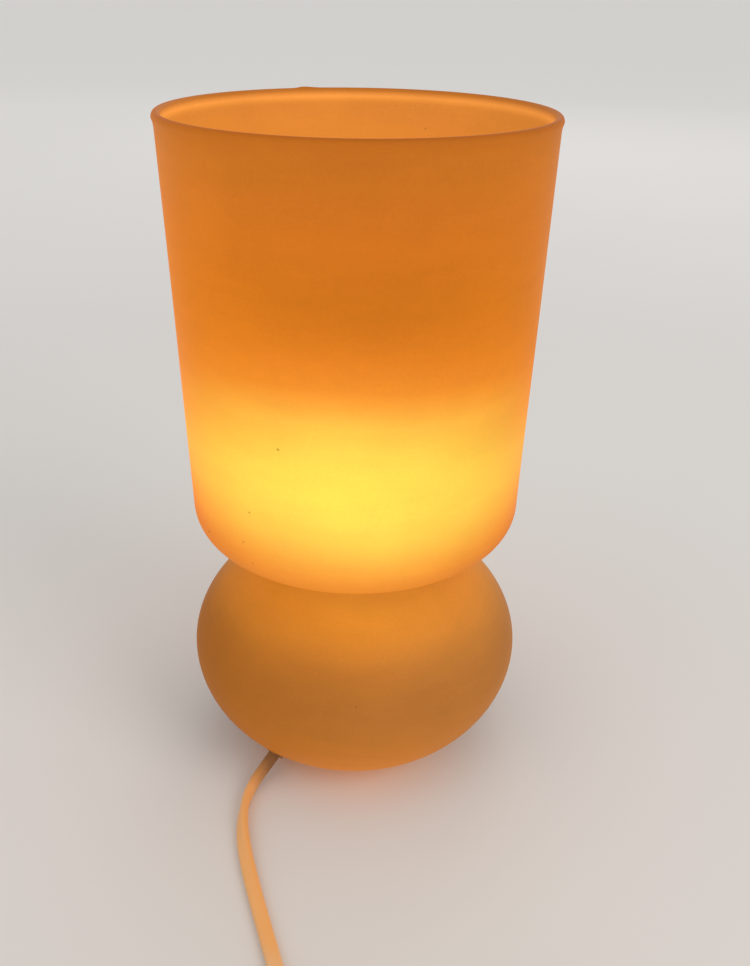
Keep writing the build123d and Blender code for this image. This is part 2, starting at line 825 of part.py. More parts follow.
# Bulb: globe of opal glass
globe_height = bulb_top_height - globe_radius
neck_curve_reach = bulb_neck_radius + bulb_neck_curve
neck_curve_height = globe_height - sqrt(
    (globe_radius + bulb_neck_curve) ** 2 - neck_curve_reach**2
)
globe_start = degrees(asin((globe_height - neck_curve_height) / (globe_radius + bulb_neck_curve)))


def draw_bulb_side(inset):
    """Draws one side of the bulb's glass, from inside its cap up to the top of the globe."""
    Line(
        (bulb_neck_radius - inset, screw_cap_top - bulb_neck_in_cap),
        (bulb_neck_radius - inset, neck_curve_height),
    )
    CenterArc(
        (neck_curve_reach, neck_curve_height),
        bulb_neck_curve + inset,
        180,
        -globe_start,
    )
    CenterArc((0, globe_height), globe_radius - inset, -globe_start, 90 + globe_start)


with BuildPart() as bulb_envelope:
    with BuildSketch(Plane.XZ):
        with BuildLine():
            draw_bulb_side(0)
            draw_bulb_side(envelope_wall)
            Line((0, bulb_top_height), (0, bulb_top_height - envelope_wall))
            Line(
                (bulb_neck_radius, screw_cap_top - bulb_neck_in_cap),
                (bulb_neck_radius - envelope_wall, screw_cap_top - bulb_neck_in_cap),
            )
        make_face()
    revolve(axis=Axis.Z)
bulb_envelope.part.label = "bulb_envelope"
export_step(bulb_envelope.part, "parts/bulb_envelope.step")

# Bulb: stem, lead wires and filament
stem_bottom = screw_cap_top - bulb_neck_in_cap
stem_top = stem_bottom + stem_rise
stem_flare_radius = bulb_neck_radius - envelope_wall - press_clearance
with BuildPart() as bulb_stem:
    with BuildSketch(Plane.XZ):
        with BuildLine():
            Polyline((0, stem_bottom), (stem_flare_radius, stem_bottom))
            Polyline(
                (stem_rod_radius, stem_bottom + stem_flare_height),
                (stem_rod_radius, stem_top),
                (0, stem_top),
                (0, stem_bottom),
            )
            TangentArc(
                (stem_rod_radius, stem_bottom + stem_flare_height),
                (stem_flare_radius, stem_bottom),
                tangent=(0, -1),
            )
        make_face()
    revolve(axis=Axis.Z)
bulb_stem.part.label = "bulb_stem"
export_step(bulb_stem.part, "parts/bulb_stem.step")

bulb_lead_top = stem_top + bulb_lead_length
with BuildPart() as bulb_leads:
    for side in (1, -1):
        with BuildLine():
            bulb_lead_route = Line(
                (side * bulb_lead_root_spread, 0, stem_top),
                (side * bulb_lead_spread, 0, bulb_lead_top),
            )
        with BuildSketch(Plane(origin=bulb_lead_route @ 0, z_dir=(0, 0, 1))):
            Circle(bulb_lead_radius)
        sweep()
bulb_leads.part.label = "bulb_leads"
export_step(bulb_leads.part, "parts/bulb_leads.step")

filament_height = bulb_lead_top + filament_radius
with BuildPart() as bulb_filament:
    with BuildLine():
        filament_route = ThreePointArc(
            (-bulb_lead_spread, 0, filament_height),
            (0, filament_rise, filament_height),
            (bulb_lead_spread, 0, filament_height),
        )
    with BuildSketch(Plane(origin=filament_route @ 0, z_dir=filament_route % 0)):
        Circle(filament_radius)
    sweep()
bulb_filament.part.label = "bulb_filament"
export_step(bulb_filament.part, "parts/bulb_filament.step")

# Cord on the table, from the grommet to the switch: points chosen by hand
lead_start = inner_cord_end
lead_stub_end = inner_cord_end + Vector(*exit_heading) * cord_stub_length
lead_points = [
    (lead_start.X, lead_start.Y, lead_start.Z),
    (lead_stub_end.X, lead_stub_end.Y, lead_stub_end.Z),
    (-38.4, -47.6, 3.3),
    (-40.9, -56.0, 2.6),
    (-41.5, -67.0, 2.6),
    (-39.7, -80.0, 2.6),
    (-35.6, -95.0, 2.6),
    (-30.6, -111.0, 2.6),
    (-25.2, -127.0, 2.6),
    (-22.0, -137.0, 3.4),
    (switch_x, switch_y + switch_length / 2 + cord_stub_length, cord_entry_height),
    (switch_x, switch_y + switch_length / 2, cord_entry_height),
]

# Switch to coil, and coil to plug
coil_start = (coil_left_x, coil_middle_y + cord_stub_length, cord_radius)
main_points = [
    (switch_x, switch_y - switch_length / 2, cord_entry_height),
    (switch_x, switch_y - switch_length / 2 - cord_stub_length, cord_entry_height),
    (-23.4, -227.0, 2.9),
    (-28.0, -237.5, 2.6),
    (coil_left_x, coil_middle_y + 2 * cord_stub_length, cord_radius),
    coil_start,
]


def cord_tube(points, name):
    """A tube along straight runs joined by tangent arcs, with its volume set against its length."""
    radii = route_radii(points)
    with BuildPart() as tube:
        with BuildLine():
            route = FilletPolyline(*points, radius=radii)
        with BuildSketch(Plane(origin=route @ 0, z_dir=route % 0)):
            Circle(cord_radius)
        sweep()
    tube.part.label = name
    volume_share = tube.part.volume / (pi * cord_radius**2 * route.length)
    print(name, "radii", [round(radius, 1) for radius in radii])
    print(name, "length", round(route.length, 1), "volume share", round(volume_share, 4))
    return tube


cord_lead = cord_tube(lead_points, "cord_lead")
export_step(cord_lead.part, "parts/cord_lead.step")
cord_main = cord_tube(main_points, "cord_main")
export_step(cord_main.part, "parts/cord_main.step")

# Coil: half turns whose radius shrinks towards the middle, a climb, then grows again
half_step = coil_pitch / 2
turn_radii = [coil_radius - half_step * turn for turn in range(coil_half_turns + 1)]
turn_radii += turn_radii[-2::-1]
upper_height = cord_radius + coil_layer_rise
with BuildPart() as cord_coil:
    with BuildLine() as coil_line:
        spot = Vector(coil_left_x, coil_middle_y, cord_radius)
        Line(coil_start, spot)
        for turn, turn_radius in enumerate(turn_radii):
            side = 1 if turn % 2 == 0 else -1
            height = cord_radius if turn < coil_half_turns else upper_height
            after = Vector(spot.X + side * 2 * turn_radius, coil_middle_y, height)
            TangentArc(spot, after, tangent=(0, -side, 0))
            spot = after
        coil_end = spot + Vector(0, cord_stub_length, 0)
        Line(spot, coil_end)
    coil_route = coil_line.wires()[0]
    with BuildSketch(Plane(origin=coil_start, z_dir=(0, -1, 0))):
        Circle(cord_radius)
    sweep()
cord_coil.part.label = "cord_coil"
print("cord_coil length", round(coil_route.length, 1))
print("cord_coil least gap", round(least_gap(coil_route, cord_width, gap_steps), 2))
export_step(cord_coil.part, "parts/cord_coil.step")

tail_points = [
    (coil_end.X, coil_end.Y, coil_end.Z),
    (coil_end.X, coil_end.Y + cord_stub_length, coil_end.Z),
    (52.3, -237.6, 7.8),
    (59.7, -228.2, 7.1),
    (plug_x, relief_rear_y - cord_stub_length, plug_axis_height),
    (plug_x, relief_rear_y, plug_axis_height),
]
cord_tail = cord_tube(tail_points, "cord_tail")
export_step(cord_tail.part, "parts/cord_tail.step")

# Switch base: tray with cord holes in its ends, bosses and recesses for the screws
switch_inner_width = switch_width - 2 * switch_wall
switch_inner_length = switch_length - 2 * switch_wall
switch_inner_corner = switch_corner - switch_wall
boss_spread = switch_inner_width / 2 - switch_boss_radius + switch_boss_merge
boss_places = [
    (side * boss_spread, end * switch_boss_place) for side in (1, -1) for end in (1, -1)
]
switch_axis_plane = Plane(
    origin=(switch_x, switch_y, cord_entry_height), x_dir=(1, 0, 0), z_dir=(0, 1, 0)
)
with BuildPart() as switch_base:
    rounded_block(switch_plane, switch_width, switch_length, switch_corner, switch_base_height)
    fillet(edges().group_by(Axis.Z)[0], switch_bottom_round)
    rounded_block(
        switch_plane.offset(switch_floor),
        switch_inner_width,
        switch_inner_length,
        switch_inner_corner,
        switch_base_height,
        mode=Mode.SUBTRACT,
    )
    with BuildSketch(switch_plane.offset(switch_floor)):
        with Locations(*boss_places):
            Circle(switch_boss_radius)
    extrude(amount=switch_base_height - switch_floor)
    with BuildSketch(switch_plane):
        with Locations(*boss_places):
            Circle(switch_screw_radius + screw_clearance)
    extrude(amount=switch_base_height, mode=Mode.SUBTRACT)
    with BuildSketch(switch_plane):
        with Locations(*boss_places):
            Circle(switch_head_radius + screw_clearance)
    extrude(amount=switch_head_recess, mode=Mode.SUBTRACT)
    with BuildSketch(switch_axis_plane):
        Circle(cord_radius + cord_clearance)
    extrude(amount=switch_length, both=True, mode=Mode.SUBTRACT)
switch_base.part.label = "switch_base"
export_step(switch_base.part, "parts/switch_base.step")

# Switch cover: window for the rocker, cheeks that carry its axle
axle_plane = Plane(origin=(switch_x, switch_y, axle_height), x_dir=(0, 1, 0), z_dir=(1, 0, 0))
window_half_width = rocker_half_width + rocker_clearance
cheek_depth = switch_cover_height - switch_wall
with BuildPart() as switch_cover:
    rounded_block(
        switch_plane.offset(switch_base_height),
        switch_width,
        switch_length,
        switch_corner,
        switch_cover_height,
    )
    fillet(edges().group_by(Axis.Z)[-1], switch_edge_round)
    rounded_block(
        switch_plane.offset(switch_base_height),
        switch_inner_width,
        switch_inner_length,
        switch_inner_corner,
        cheek_depth,
        mode=Mode.SUBTRACT,
    )
    with BuildSketch(switch_plane.offset(switch_base_height)):
        with Locations(
            (window_half_width + cheek_thickness / 2, 0),
            (-window_half_width - cheek_thickness / 2, 0),
        ):
            Rectangle(cheek_thickness, 2 * cheek_half_length)
        with Locations(*boss_places):
            Circle(switch_boss_radius)
    extrude(amount=cheek_depth)
    block(
        switch_plane.offset(switch_base_height),
        2 * window_half_width,
        2 * (rocker_radius + rocker_clearance),
        switch_cover_height,
        mode=Mode.SUBTRACT,
    )
    with BuildSketch(switch_plane.offset(switch_base_height)):
        with Locations(*boss_places):
            Circle(switch_screw_radius + screw_clearance)
    extrude(amount=cheek_depth - screw_clearance, mode=Mode.SUBTRACT)
    with BuildSketch(axle_plane):
        Circle(axle_radius + axle_clearance)
    extrude(amount=window_half_width + cheek_thickness, both=True, mode=Mode.SUBTRACT)
switch_cover.part.label = "switch_cover"
export_step(switch_cover.part, "parts/switch_cover.step")

# Rocker, resting with its -Y end pressed, which is on
tilted_plane = Plane(
    origin=axle_plane.origin,
    x_dir=(0, cos(radians(rocker_tilt)), sin(radians(rocker_tilt))),
    z_dir=(1, 0, 0),
)
rocker_rise = rocker_crest + rocker_radius * tan(radians(rocker_tilt))
with BuildPart() as switch_rocker:
    with BuildSketch(tilted_plane):
        with BuildLine():
            Polyline(
                (-rocker_radius, -rocker_under),
                (rocker_radius, -rocker_under),
                (rocker_radius, rocker_rise),
                (0, rocker_crest),
                (-rocker_radius, rocker_rise),
                close=True,
            )
        make_face()
        Circle(rocker_radius, mode=Mode.INTERSECT)
        Circle(axle_radius + axle_clearance, mode=Mode.SUBTRACT)
    extrude(amount=rocker_half_width, both=True)
    crosswise_edges = edges().filter_by(GeomType.LINE).filter_by(Axis.X)
    fillet(crosswise_edges.group_by(Axis.Z)[-1], rocker_edge_round)
switch_rocker.part.label = "switch_rocker"
export_step(switch_rocker.part, "parts/switch_rocker.step")

with BuildPart() as switch_axle:
    with BuildSketch(axle_plane):
        Circle(axle_radius)
    extrude(amount=window_half_width + cheek_thickness, both=True)
switch_axle.part.label = "switch_axle"
export_step(switch_axle.part, "parts/switch_axle.step")

# Contact blade under the rocker, and the two fixed contacts that it joins
with BuildPart() as switch_blade:
    with BuildSketch(tilted_plane):
        with Locations(((blade_tail - blade_reach) / 2, -rocker_under - blade_thickness / 2)):
            Rectangle(blade_reach + blade_tail, blade_thickness)
    extrude(amount=blade_half_width, both=True)
switch_blade.part.label = "switch_blade"
export_step(switch_blade.part, "parts/switch_blade.step")

blade_drop = (rocker_under + blade_thickness) / cos(radians(rocker_tilt))
tilt_slope = tan(radians(rocker_tilt))
centre_post_top = axle_height - blade_drop - post_half_length * tilt_slope - contact_gap
end_post_reach = end_post_place + end_post_half_length
end_post_top = axle_height - blade_drop - end_post_reach * tilt_slope - contact_gap
with BuildPart() as switch_contacts:
    block(
        switch_plane.offset(switch_floor),
        2 * blade_half_width,
        2 * post_half_length,
        centre_post_top - switch_floor,
    )
    with BuildSketch(switch_plane.offset(switch_floor)):
        with Locations((0, -end_post_place)):
            Rectangle(2 * blade_half_width, 2 * end_post_half_length)
    extrude(amount=end_post_top - switch_floor)
switch_contacts.part.label = "switch_contacts"
export_step(switch_contacts.part, "parts/switch_contacts.step")

# Ends of the cord's jacket inside the switch, and the conductors between them
jacket_end = switch_length / 2 - cord_end_length
with BuildPart() as switch_cord_ends:
    for end in (1, -1):
        with BuildSketch(switch_axis_plane.offset(end * jacket_end)):
            Circle(cord_radius)
        extrude(amount=end * cord_end_length)
switch_cord_ends.part.label = "switch_cord_ends"
export_step(switch_cord_ends.part, "parts/switch_cord_ends.step")

with BuildPart() as switch_wires:
    live_ends = ((jacket_end, post_half_length), (-jacket_end, -end_post_reach))
    for outer_end, inner_end in live_ends:
        with BuildSketch(switch_axis_plane.offset(inner_end)):
            with Locations((-conductor_spread, 0)):
                Circle(conductor_radius)
        extrude(amount=outer_end - inner_end)
    with BuildLine(switch_axis_plane):
        neutral_route = FilletPolyline(
            (conductor_spread, 0, jacket_end),
            (conductor_spread, 0, jacket_end - neutral_turn_in / 2),
            (neutral_spread, 0, jacket_end - 2 * neutral_turn_in),
            (neutral_spread, 0, 2 * neutral_turn_in - jacket_end),
            (conductor_spread, 0, neutral_turn_in / 2 - jacket_end),
            (conductor_spread, 0, -jacket_end),
            radius=neutral_bend,
        )
    with BuildSketch(Plane(origin=neutral_route @ 0, z_dir=neutral_route % 0)):
        Circle(conductor_radius)
    sweep()
switch_wires.part.label = "switch_wires"
export_step(switch_wires.part, "parts/switch_wires.step")

with BuildPart() as switch_clamps:
    clamp_bottom = cord_entry_height + cord_radius + cord_clearance
    with BuildSketch(switch_plane.offset(clamp_bottom)):
        with Locations((0, clamp_place), (0, -clamp_place)):
            Rectangle(2 * clamp_half_width, 2 * clamp_half_length)
    extrude(amount=clamp_thickness)
switch_clamps.part.label = "switch_clamps"
export_step(switch_clamps.part, "parts/switch_clamps.step")

with BuildPart() as switch_screws:
    head_bottom = switch_head_recess - switch_head_height
    with BuildSketch(switch_plane.offset(head_bottom)):
        with Locations(*boss_places):
            Circle(switch_head_radius)
    extrude(amount=switch_head_height)
    with BuildSketch(switch_plane.offset(head_bottom)):
        with Locations(*boss_places):
            Circle(switch_screw_radius)
    extrude(amount=switch_screw_length)
switch_screws.part.label = "switch_screws"
export_step(switch_screws.part, "parts/switch_screws.step")

# Plug body, moulded round the pins
plug_plane = Plane(origin=(plug_x, plug_front_y, 0))
pin_plane = Plane(origin=(plug_x, plug_front_y, plug_axis_height), x_dir=(1, 0, 0), z_dir=(0, 1, 0))
pin_places = [(pin_spread, 0), (-pin_spread, 0)]
with BuildPart() as plug_body:
    with BuildSketch(plug_plane):
        with BuildLine():
            Polyline(
                (plug_front_half_width, 0),
                (plug_half_width, -plug_shoulder),
                (plug_half_width, -plug_waist),
                (plug_rear_half_width, -plug_length),
                (-plug_rear_half_width, -plug_length),
                (-plug_half_width, -plug_waist),
                (-plug_half_width, -plug_shoulder),
                (-plug_front_half_width, 0),
                close=True,
            )
        make_face()
        fillet(vertices(), plug_corner)
    extrude(amount=plug_thickness)
    fillet(edges().group_by(Axis.Z)[-1] + edges().group_by(Axis.Z)[0], plug_edge_round)
    with BuildSketch(pin_plane):
        with Locations(*pin_places):
            Circle(pin_sleeve_radius + press_clearance)
    extrude(amount=-pin_sleeve_root, mode=Mode.SUBTRACT)
    with BuildSketch(pin_plane):
        with Locations(*pin_places):
            Circle(pin_core_radius + press_clearance)
    extrude(amount=-pin_root, mode=Mode.SUBTRACT)
    with BuildSketch(Plane(origin=(plug_x, plug_rear_y, plug_axis_height), z_dir=(0, 1, 0))):
        Circle(relief_front_radius + press_clearance)
    extrude(amount=relief_root, mode=Mode.SUBTRACT)
plug_body.part.label = "plug_body"
export_step(plug_body.part, "parts/plug_body.step")

with BuildPart() as plug_pins:
    with BuildSketch(pin_plane.offset(-pin_root)):
        with Locations(*pin_places):
            Circle(pin_core_radius)
    extrude(amount=pin_root + pin_length - pin_bare_length)
    with BuildSketch(pin_plane.offset(pin_length - pin_bare_length)):
        with Locations(*pin_places):
            Circle(pin_radius)
    extrude(amount=pin_bare_length)
    fillet(edges().group_by(Axis.Y)[-1], pin_tip_round)
plug_pins.part.label = "plug_pins"
export_step(plug_pins.part, "parts/plug_pins.step")

with BuildPart() as plug_pin_sleeves:
    with BuildSketch(pin_plane.offset(-pin_sleeve_root)):
        with Locations(*pin_places):
            Circle(pin_sleeve_radius)
            Circle(pin_core_radius + press_clearance, mode=Mode.SUBTRACT)
    extrude(amount=pin_sleeve_root + pin_length - pin_bare_length)
plug_pin_sleeves.part.label = "plug_pin_sleeves"
export_step(plug_pin_sleeves.part, "parts/plug_pin_sleeves.step")

# Strain relief: a tapered, grooved sleeve behind the plug
relief_plane = Plane(origin=(plug_x, plug_rear_y, plug_axis_height), z_dir=(0, -1, 0))
relief_taper = (relief_front_radius - relief_rear_radius) / relief_length
groove_step = (relief_length - 2 * relief_groove_margin) / (relief_grooves - 1)
with BuildPart() as plug_relief:
    with BuildSketch(relief_plane):
        Circle(relief_front_radius)
    with BuildSketch(relief_plane.offset(relief_length)):
        Circle(relief_rear_radius)
    loft()
    with BuildSketch(relief_plane.offset(-relief_root)):
        Circle(relief_front_radius)
    extrude(amount=relief_root)
    for groove in range(relief_grooves):
        place = relief_groove_margin + groove * groove_step
        groove_floor = relief_front_radius - relief_taper * place - relief_groove_depth
        with BuildSketch(relief_plane.offset(place - relief_groove_width / 2)):
            Circle(relief_front_radius + overrun)
            Circle(groove_floor, mode=Mode.SUBTRACT)
        extrude(amount=relief_groove_width, mode=Mode.SUBTRACT)
plug_relief.part.label = "plug_relief"
export_step(plug_relief.part, "parts/plug_relief.step")
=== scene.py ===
import json
import math

import bpy
from mathutils import Matrix, Vector


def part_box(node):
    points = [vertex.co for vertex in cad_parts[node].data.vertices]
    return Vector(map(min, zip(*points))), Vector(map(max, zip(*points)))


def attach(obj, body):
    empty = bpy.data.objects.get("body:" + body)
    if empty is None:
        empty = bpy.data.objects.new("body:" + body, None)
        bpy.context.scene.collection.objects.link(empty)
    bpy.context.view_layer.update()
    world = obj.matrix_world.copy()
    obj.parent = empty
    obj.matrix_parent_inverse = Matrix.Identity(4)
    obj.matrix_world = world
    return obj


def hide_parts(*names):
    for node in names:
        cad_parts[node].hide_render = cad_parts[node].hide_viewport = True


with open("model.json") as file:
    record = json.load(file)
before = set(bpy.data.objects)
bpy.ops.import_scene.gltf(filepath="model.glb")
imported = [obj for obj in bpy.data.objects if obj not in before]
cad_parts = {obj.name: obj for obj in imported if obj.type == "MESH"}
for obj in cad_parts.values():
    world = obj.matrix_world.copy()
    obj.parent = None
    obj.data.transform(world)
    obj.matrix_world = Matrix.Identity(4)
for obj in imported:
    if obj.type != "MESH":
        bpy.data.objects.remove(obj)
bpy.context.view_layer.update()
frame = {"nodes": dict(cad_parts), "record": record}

MM = 0.001

# Sizes of the glass, as they are in the frame
glass_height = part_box("glass_body")[1][2]
glass_wall = 3.0 * MM
rim_radius = 65.5 * MM
lip_flare = 0.5 * MM
lip_flare_height = 5.0 * MM
lip_round_height = 1.8 * MM
lip_taper = 0.6 * MM
lip_taper_height = 14.0 * MM
cup_low_radius = 61.6 * MM
cup_low_height = 106.0 * MM
corner_radius = 13.6 * MM
corner_turn = math.radians(62.0)
floor_curve_radius = 46.0 * MM
base_radius = 65.0 * MM
base_middle_height = 40.8 * MM
base_upper_half = 46.1 * MM
base_lower_half = 47.9 * MM
neck_radius = 28.0 * MM
foot_opening_radius = 30.5 * MM
exit_azimuth = math.radians(230.1)
exit_dip = math.radians(28.0)
exit_height = 8.4 * MM
cord_hole_radius = 3.8 * MM
cord_hole_half_length = 6.2 * MM

# Small forms of the glass. The lip flares out by a curve of the power flare_curve, and ends
# lip_gap under the glass's full height. The foot's edge is rounded by shares of its height.
neck_round = 2.4 * MM
flare_curve = 1.8
lip_gap = 0.02 * MM
foot_edge = 0.6 * MM
foot_inner_share = 0.3
foot_outer_out = 0.1
foot_outer_up = 0.35

# The lip has a small bump at the back, where the blown glass was finished
lip_bump_angle = math.radians(109.1)
lip_bump_left = 1.9 * MM
lip_bump_right = 4.5 * MM
lip_bump_height = 0.45 * MM

# The wall wavers by a tenth of a millimetre: not at the foot, fully from blown_full_height up, and
# less in the lip. Each wave has its share, how many go round, its turn in a metre of height, and
# its start.
blown_waver = 0.10 * MM
blown_waves = [(0.5, 3, 40.0, 0.0), (0.3, 5, -65.0, 1.0), (0.2, 9, 25.0, 2.0)]
blown_full_height = 20.0 * MM

# How many steps each stretch of the glass's mesh has
base_lower_steps = 40
base_upper_steps = 44
neck_steps = 6
floor_steps = 4
floor_curve_steps = 14
corner_steps = 20
wall_steps = 40
flare_steps = 8
lip_steps = 16
round_steps = 8
glass_segments = 240
cord_hole_sides = 48
glass_crease = math.radians(40.0)

# Camera, fitted to the photograph, with its angles in radians
camera_place = Vector((0.0, -342.2, 284.8)) * MM
camera_pitch = 0.4739
camera_yaw = 0.0213
camera_roll = 0.0165
camera_lens = 37.27
camera_film = 36.0
camera_near = 0.01
camera_far = 100.0


def make_camera():
    """The photograph's camera. Its film is as high as the picture's long side."""
    ahead = Vector((
        math.sin(camera_yaw) * math.cos(camera_pitch),
        math.cos(camera_yaw) * math.cos(camera_pitch),
        -math.sin(camera_pitch),
    ))
    level_right = Vector((math.cos(camera_yaw), -math.sin(camera_yaw), 0.0))
    level_up = level_right.cross(ahead)
    right = level_right * math.cos(camera_roll) + level_up * math.sin(camera_roll)
    up = level_up * math.cos(camera_roll) - level_right * math.sin(camera_roll)
    data = bpy.data.cameras.new("camera")
    data.sensor_width = camera_film
    data.lens = camera_lens
    data.clip_start = camera_near
    data.clip_end = camera_far
    camera = bpy.data.objects.new("camera", data)
    bpy.context.scene.collection.objects.link(camera)
    turn = Matrix((right, up, -ahead)).transposed().to_4x4()
    camera.matrix_world = Matrix.Translation(camera_place) @ turn
    bpy.context.scene.camera = camera


# Node trees. Noise mostly lies between noise_low and noise_high, and fine noise needs little
# detail. A ramp's new stop starts at new_stop_place, and then gets its own place.
noise_low = 0.3
noise_high = 0.7
fine_detail = 2.0
new_stop_place = 0.5

# Sockets of a Mix node that mixes colours, by number because its kinds share their names
mix_amount = 0
mix_first = 6
mix_second = 7
mix_result = 2


class Nodes:
    """A material with its Principled shader, and short ways to add nodes to it."""

    def __init__(self, name):
        self.material = bpy.data.materials.new(name)
        self.material.use_nodes = True
        self.tree = self.material.node_tree
        self.shader = self.tree.nodes["Principled BSDF"]
        self.coords = self.add("ShaderNodeTexCoord").outputs["Object"]

    def add(self, kind, inputs=(), **settings):
        """A node with its settings, and each input set to a value or linked to a socket."""
        node = self.tree.nodes.new(kind)
        for key, value in settings.items():
            setattr(node, key, value)
        for key, value in dict(inputs).items():
            if isinstance(value, bpy.types.NodeSocket):
                self.tree.links.new(value, node.inputs[key])
            else:
                node.inputs[key].default_value = value
        return node

    def set(self, **values):
        """Sets the shader's own inputs."""
        for key, value in values.items():
            self.shader.inputs[key.replace("_", " ")].default_value = value

    def link(self, source, name):
        self.tree.links.new(source, self.shader.inputs[name])

    def noise(self, scale, detail=4.0, roughness=0.5, stretch=(1.0, 1.0, 1.0)):
        mapping = self.add("ShaderNodeMapping", {"Vector": self.coords, "Scale": stretch})
        node = self.add("ShaderNodeTexNoise", {
            "Vector": mapping.outputs["Vector"], "Scale": scale, "Detail": detail,
            "Roughness": roughness,
        })
        return node.outputs["Fac"]

    def span(self, value, from_low, from_high, to_low, to_high):
        """The value, moved from one range to another and kept inside it."""
        node = self.add("ShaderNodeMapRange", {
            "Value": value, "From Min": from_low, "From Max": from_high,
            "To Min": to_low, "To Max": to_high,
        })
        return node.outputs["Result"]

    def spread(self, noise, to_low, to_high):
        """A noise, spread over a range."""
        return self.span(noise, noise_low, noise_high, to_low, to_high)

    def maths(self, operation, first, second):
        node = self.add("ShaderNodeMath", {0: first, 1: second}, operation=operation)
        return node.outputs["Value"]

    def mix(self, amount, first, second):
        node = self.add("ShaderNodeMix", data_type="RGBA")
        for index, value in ((mix_amount, amount), (mix_first, first), (mix_second, second)):
            if isinstance(value, bpy.types.NodeSocket):
                self.tree.links.new(value, node.inputs[index])
            else:
                node.inputs[index].default_value = value
        return node.outputs[mix_result]

    def ramp(self, value, stops):
        """A smooth colour ramp through these stops, which are places from 0 to 1 with colours."""
        node = self.add("ShaderNodeValToRGB", {"Fac": value})
        node.color_ramp.interpolation = "B_SPLINE"
        elements = node.color_ramp.elements
        while len(elements) < len(stops):
            elements.new(new_stop_place)
        for element, (place, colour) in zip(elements, stops):
            element.position = place
            element.color = (*colour, 1.0)
        return node.outputs["Color"]

    def bump(self, height, strength, distance):
        node = self.add("ShaderNodeBump", {
            "Height": height, "Strength": strength, "Distance": distance,
        })
        self.link(node.outputs["Normal"], "Normal")

    def height(self):
        """Height above the table, in metres."""
        return self.add("ShaderNodeSeparateXYZ", {"Vector": self.coords}).outputs["Z"]

    def scale(self, colour, factor):
        node = self.add("ShaderNodeVectorMath", {0: colour, "Scale": factor}, operation="SCALE")
        return node.outputs["Vector"]

    def vectors(self, operation, first, second):
        node = self.add("ShaderNodeVectorMath", {0: first, 1: second}, operation=operation)
        return node.outputs["Vector"]

    def distance(self, place):
        """How far a point of the surface is from this place, in metres."""
        node = self.add("ShaderNodeVectorMath", {0: self.coords, 1: place}, operation="DISTANCE")
        return node.outputs["Value"]

    def across(self):
        """-1 at the left of the lamp, 0 at its front and back, 1 at its right."""
        flat = self.vectors("MULTIPLY", self.coords, (1.0, 1.0, 0.0))
        unit = self.add("ShaderNodeVectorMath", {0: flat}, operation="NORMALIZE")
        return self.add("ShaderNodeSeparateXYZ", {"Vector": unit.outputs["Vector"]}).outputs["X"]


# Plain finishes: how much finer their grain is than their patches, and how uneven their gloss is
grain_ratio = 6
grain_bump = 0.15
grain_bump_size = 0.2 * MM
dullest = 1.15
glossiest = 0.85


def tinted(name, colour, roughness, speckle=0.06, scale=300.0, metallic=0.0):
    """A plain finish with the small unevenness of colour, gloss and surface that it really has."""
    nodes = Nodes(name)
    patches = nodes.noise(scale)
    darker = [channel * (1 - speckle) for channel in colour] + [1.0]
    lighter = [min(1.0, channel * (1 + speckle)) for channel in colour] + [1.0]
    nodes.link(nodes.mix(patches, darker, lighter), "Base Color")
    fine = nodes.noise(scale * grain_ratio, detail=fine_detail)
    gloss = nodes.spread(fine, roughness * glossiest, roughness * dullest)
    nodes.link(gloss, "Roughness")
    nodes.bump(fine, grain_bump, grain_bump_size)
    nodes.set(Metallic=metallic)
    return nodes.material


# Linear colours of the lit glass, by height in metres: outside at the front and back, outside at
# the sides, and inside. The sides are darker than the front and back: painted shade of the limbs.
front_glow = [
    (0.000, (0.66, 0.205, 0.022)),
    (0.018, (0.63, 0.200, 0.025)),
    (0.042, (0.41, 0.145, 0.025)),
    (0.062, (0.43, 0.145, 0.024)),
    (0.074, (0.83, 0.285, 0.026)),
    (0.080, (0.56, 0.235, 0.029)),
    (0.103, (1.00, 0.270, 0.030)),
    (0.117, (1.00, 0.655, 0.087)),
    (0.137, (1.00, 0.865, 0.101)),
    (0.159, (1.00, 0.550, 0.070)),
    (0.171, (0.96, 0.260, 0.021)),
    (0.194, (0.55, 0.155, 0.007)),
    (0.215, (0.67, 0.175, 0.013)),
    (0.235, (0.53, 0.150, 0.013)),
    (0.2435, (0.56, 0.160, 0.015)),
    (0.2447, (0.40, 0.100, 0.006)),
]
side_glow_painted_shade = [
    (0.000, (0.20, 0.065, 0.010)),
    (0.020, (0.23, 0.075, 0.012)),
    (0.035, (0.38, 0.125, 0.014)),
    (0.057, (0.32, 0.110, 0.018)),
    (0.069, (0.54, 0.195, 0.025)),
    (0.079, (0.77, 0.236, 0.022)),
    (0.090, (0.17, 0.075, 0.009)),
    (0.112, (1.00, 0.195, 0.011)),
    (0.133, (1.00, 0.495, 0.062)),
    (0.150, (1.00, 0.260, 0.019)),
    (0.170, (0.73, 0.200, 0.005)),
    (0.191, (0.74, 0.205, 0.006)),
    (0.217, (0.67, 0.185, 0.012)),
    (0.235, (0.62, 0.185, 0.017)),
    (0.2435, (0.54, 0.155, 0.010)),
    (0.2447, (0.42, 0.110, 0.007)),
]
inside_glow = [
    (0.000, (0.52, 0.180, 0.027)),
    (0.061, (0.77, 0.255, 0.034)),
    (0.095, (1.00, 0.670, 0.150)),
    (0.143, (1.00, 0.885, 0.229)),
    (0.186, (0.94, 0.345, 0.039)),
    (0.2395, (0.57, 0.195, 0.034)),
    (0.2414, (0.85, 0.315, 0.045)),
    (0.2424, (0.94, 0.370, 0.075)),
    (0.2436, (0.59, 0.195, 0.026)),
    (0.2450, (0.39, 0.115, 0.012)),
]
# The inside is a little darker at its sides: painted shade
inside_side_painted_shade = 0.94
inside_side_glow_painted_shade = [
    (height, tuple(channel * inside_side_painted_shade for channel in colour))
    for height, colour in inside_glow
]

# How much of these glow colours is painted into the glass's base colour as painted light over its
# white, and with how much it glows
glow_painted_base_share = 0.42
glow_share = 0.70

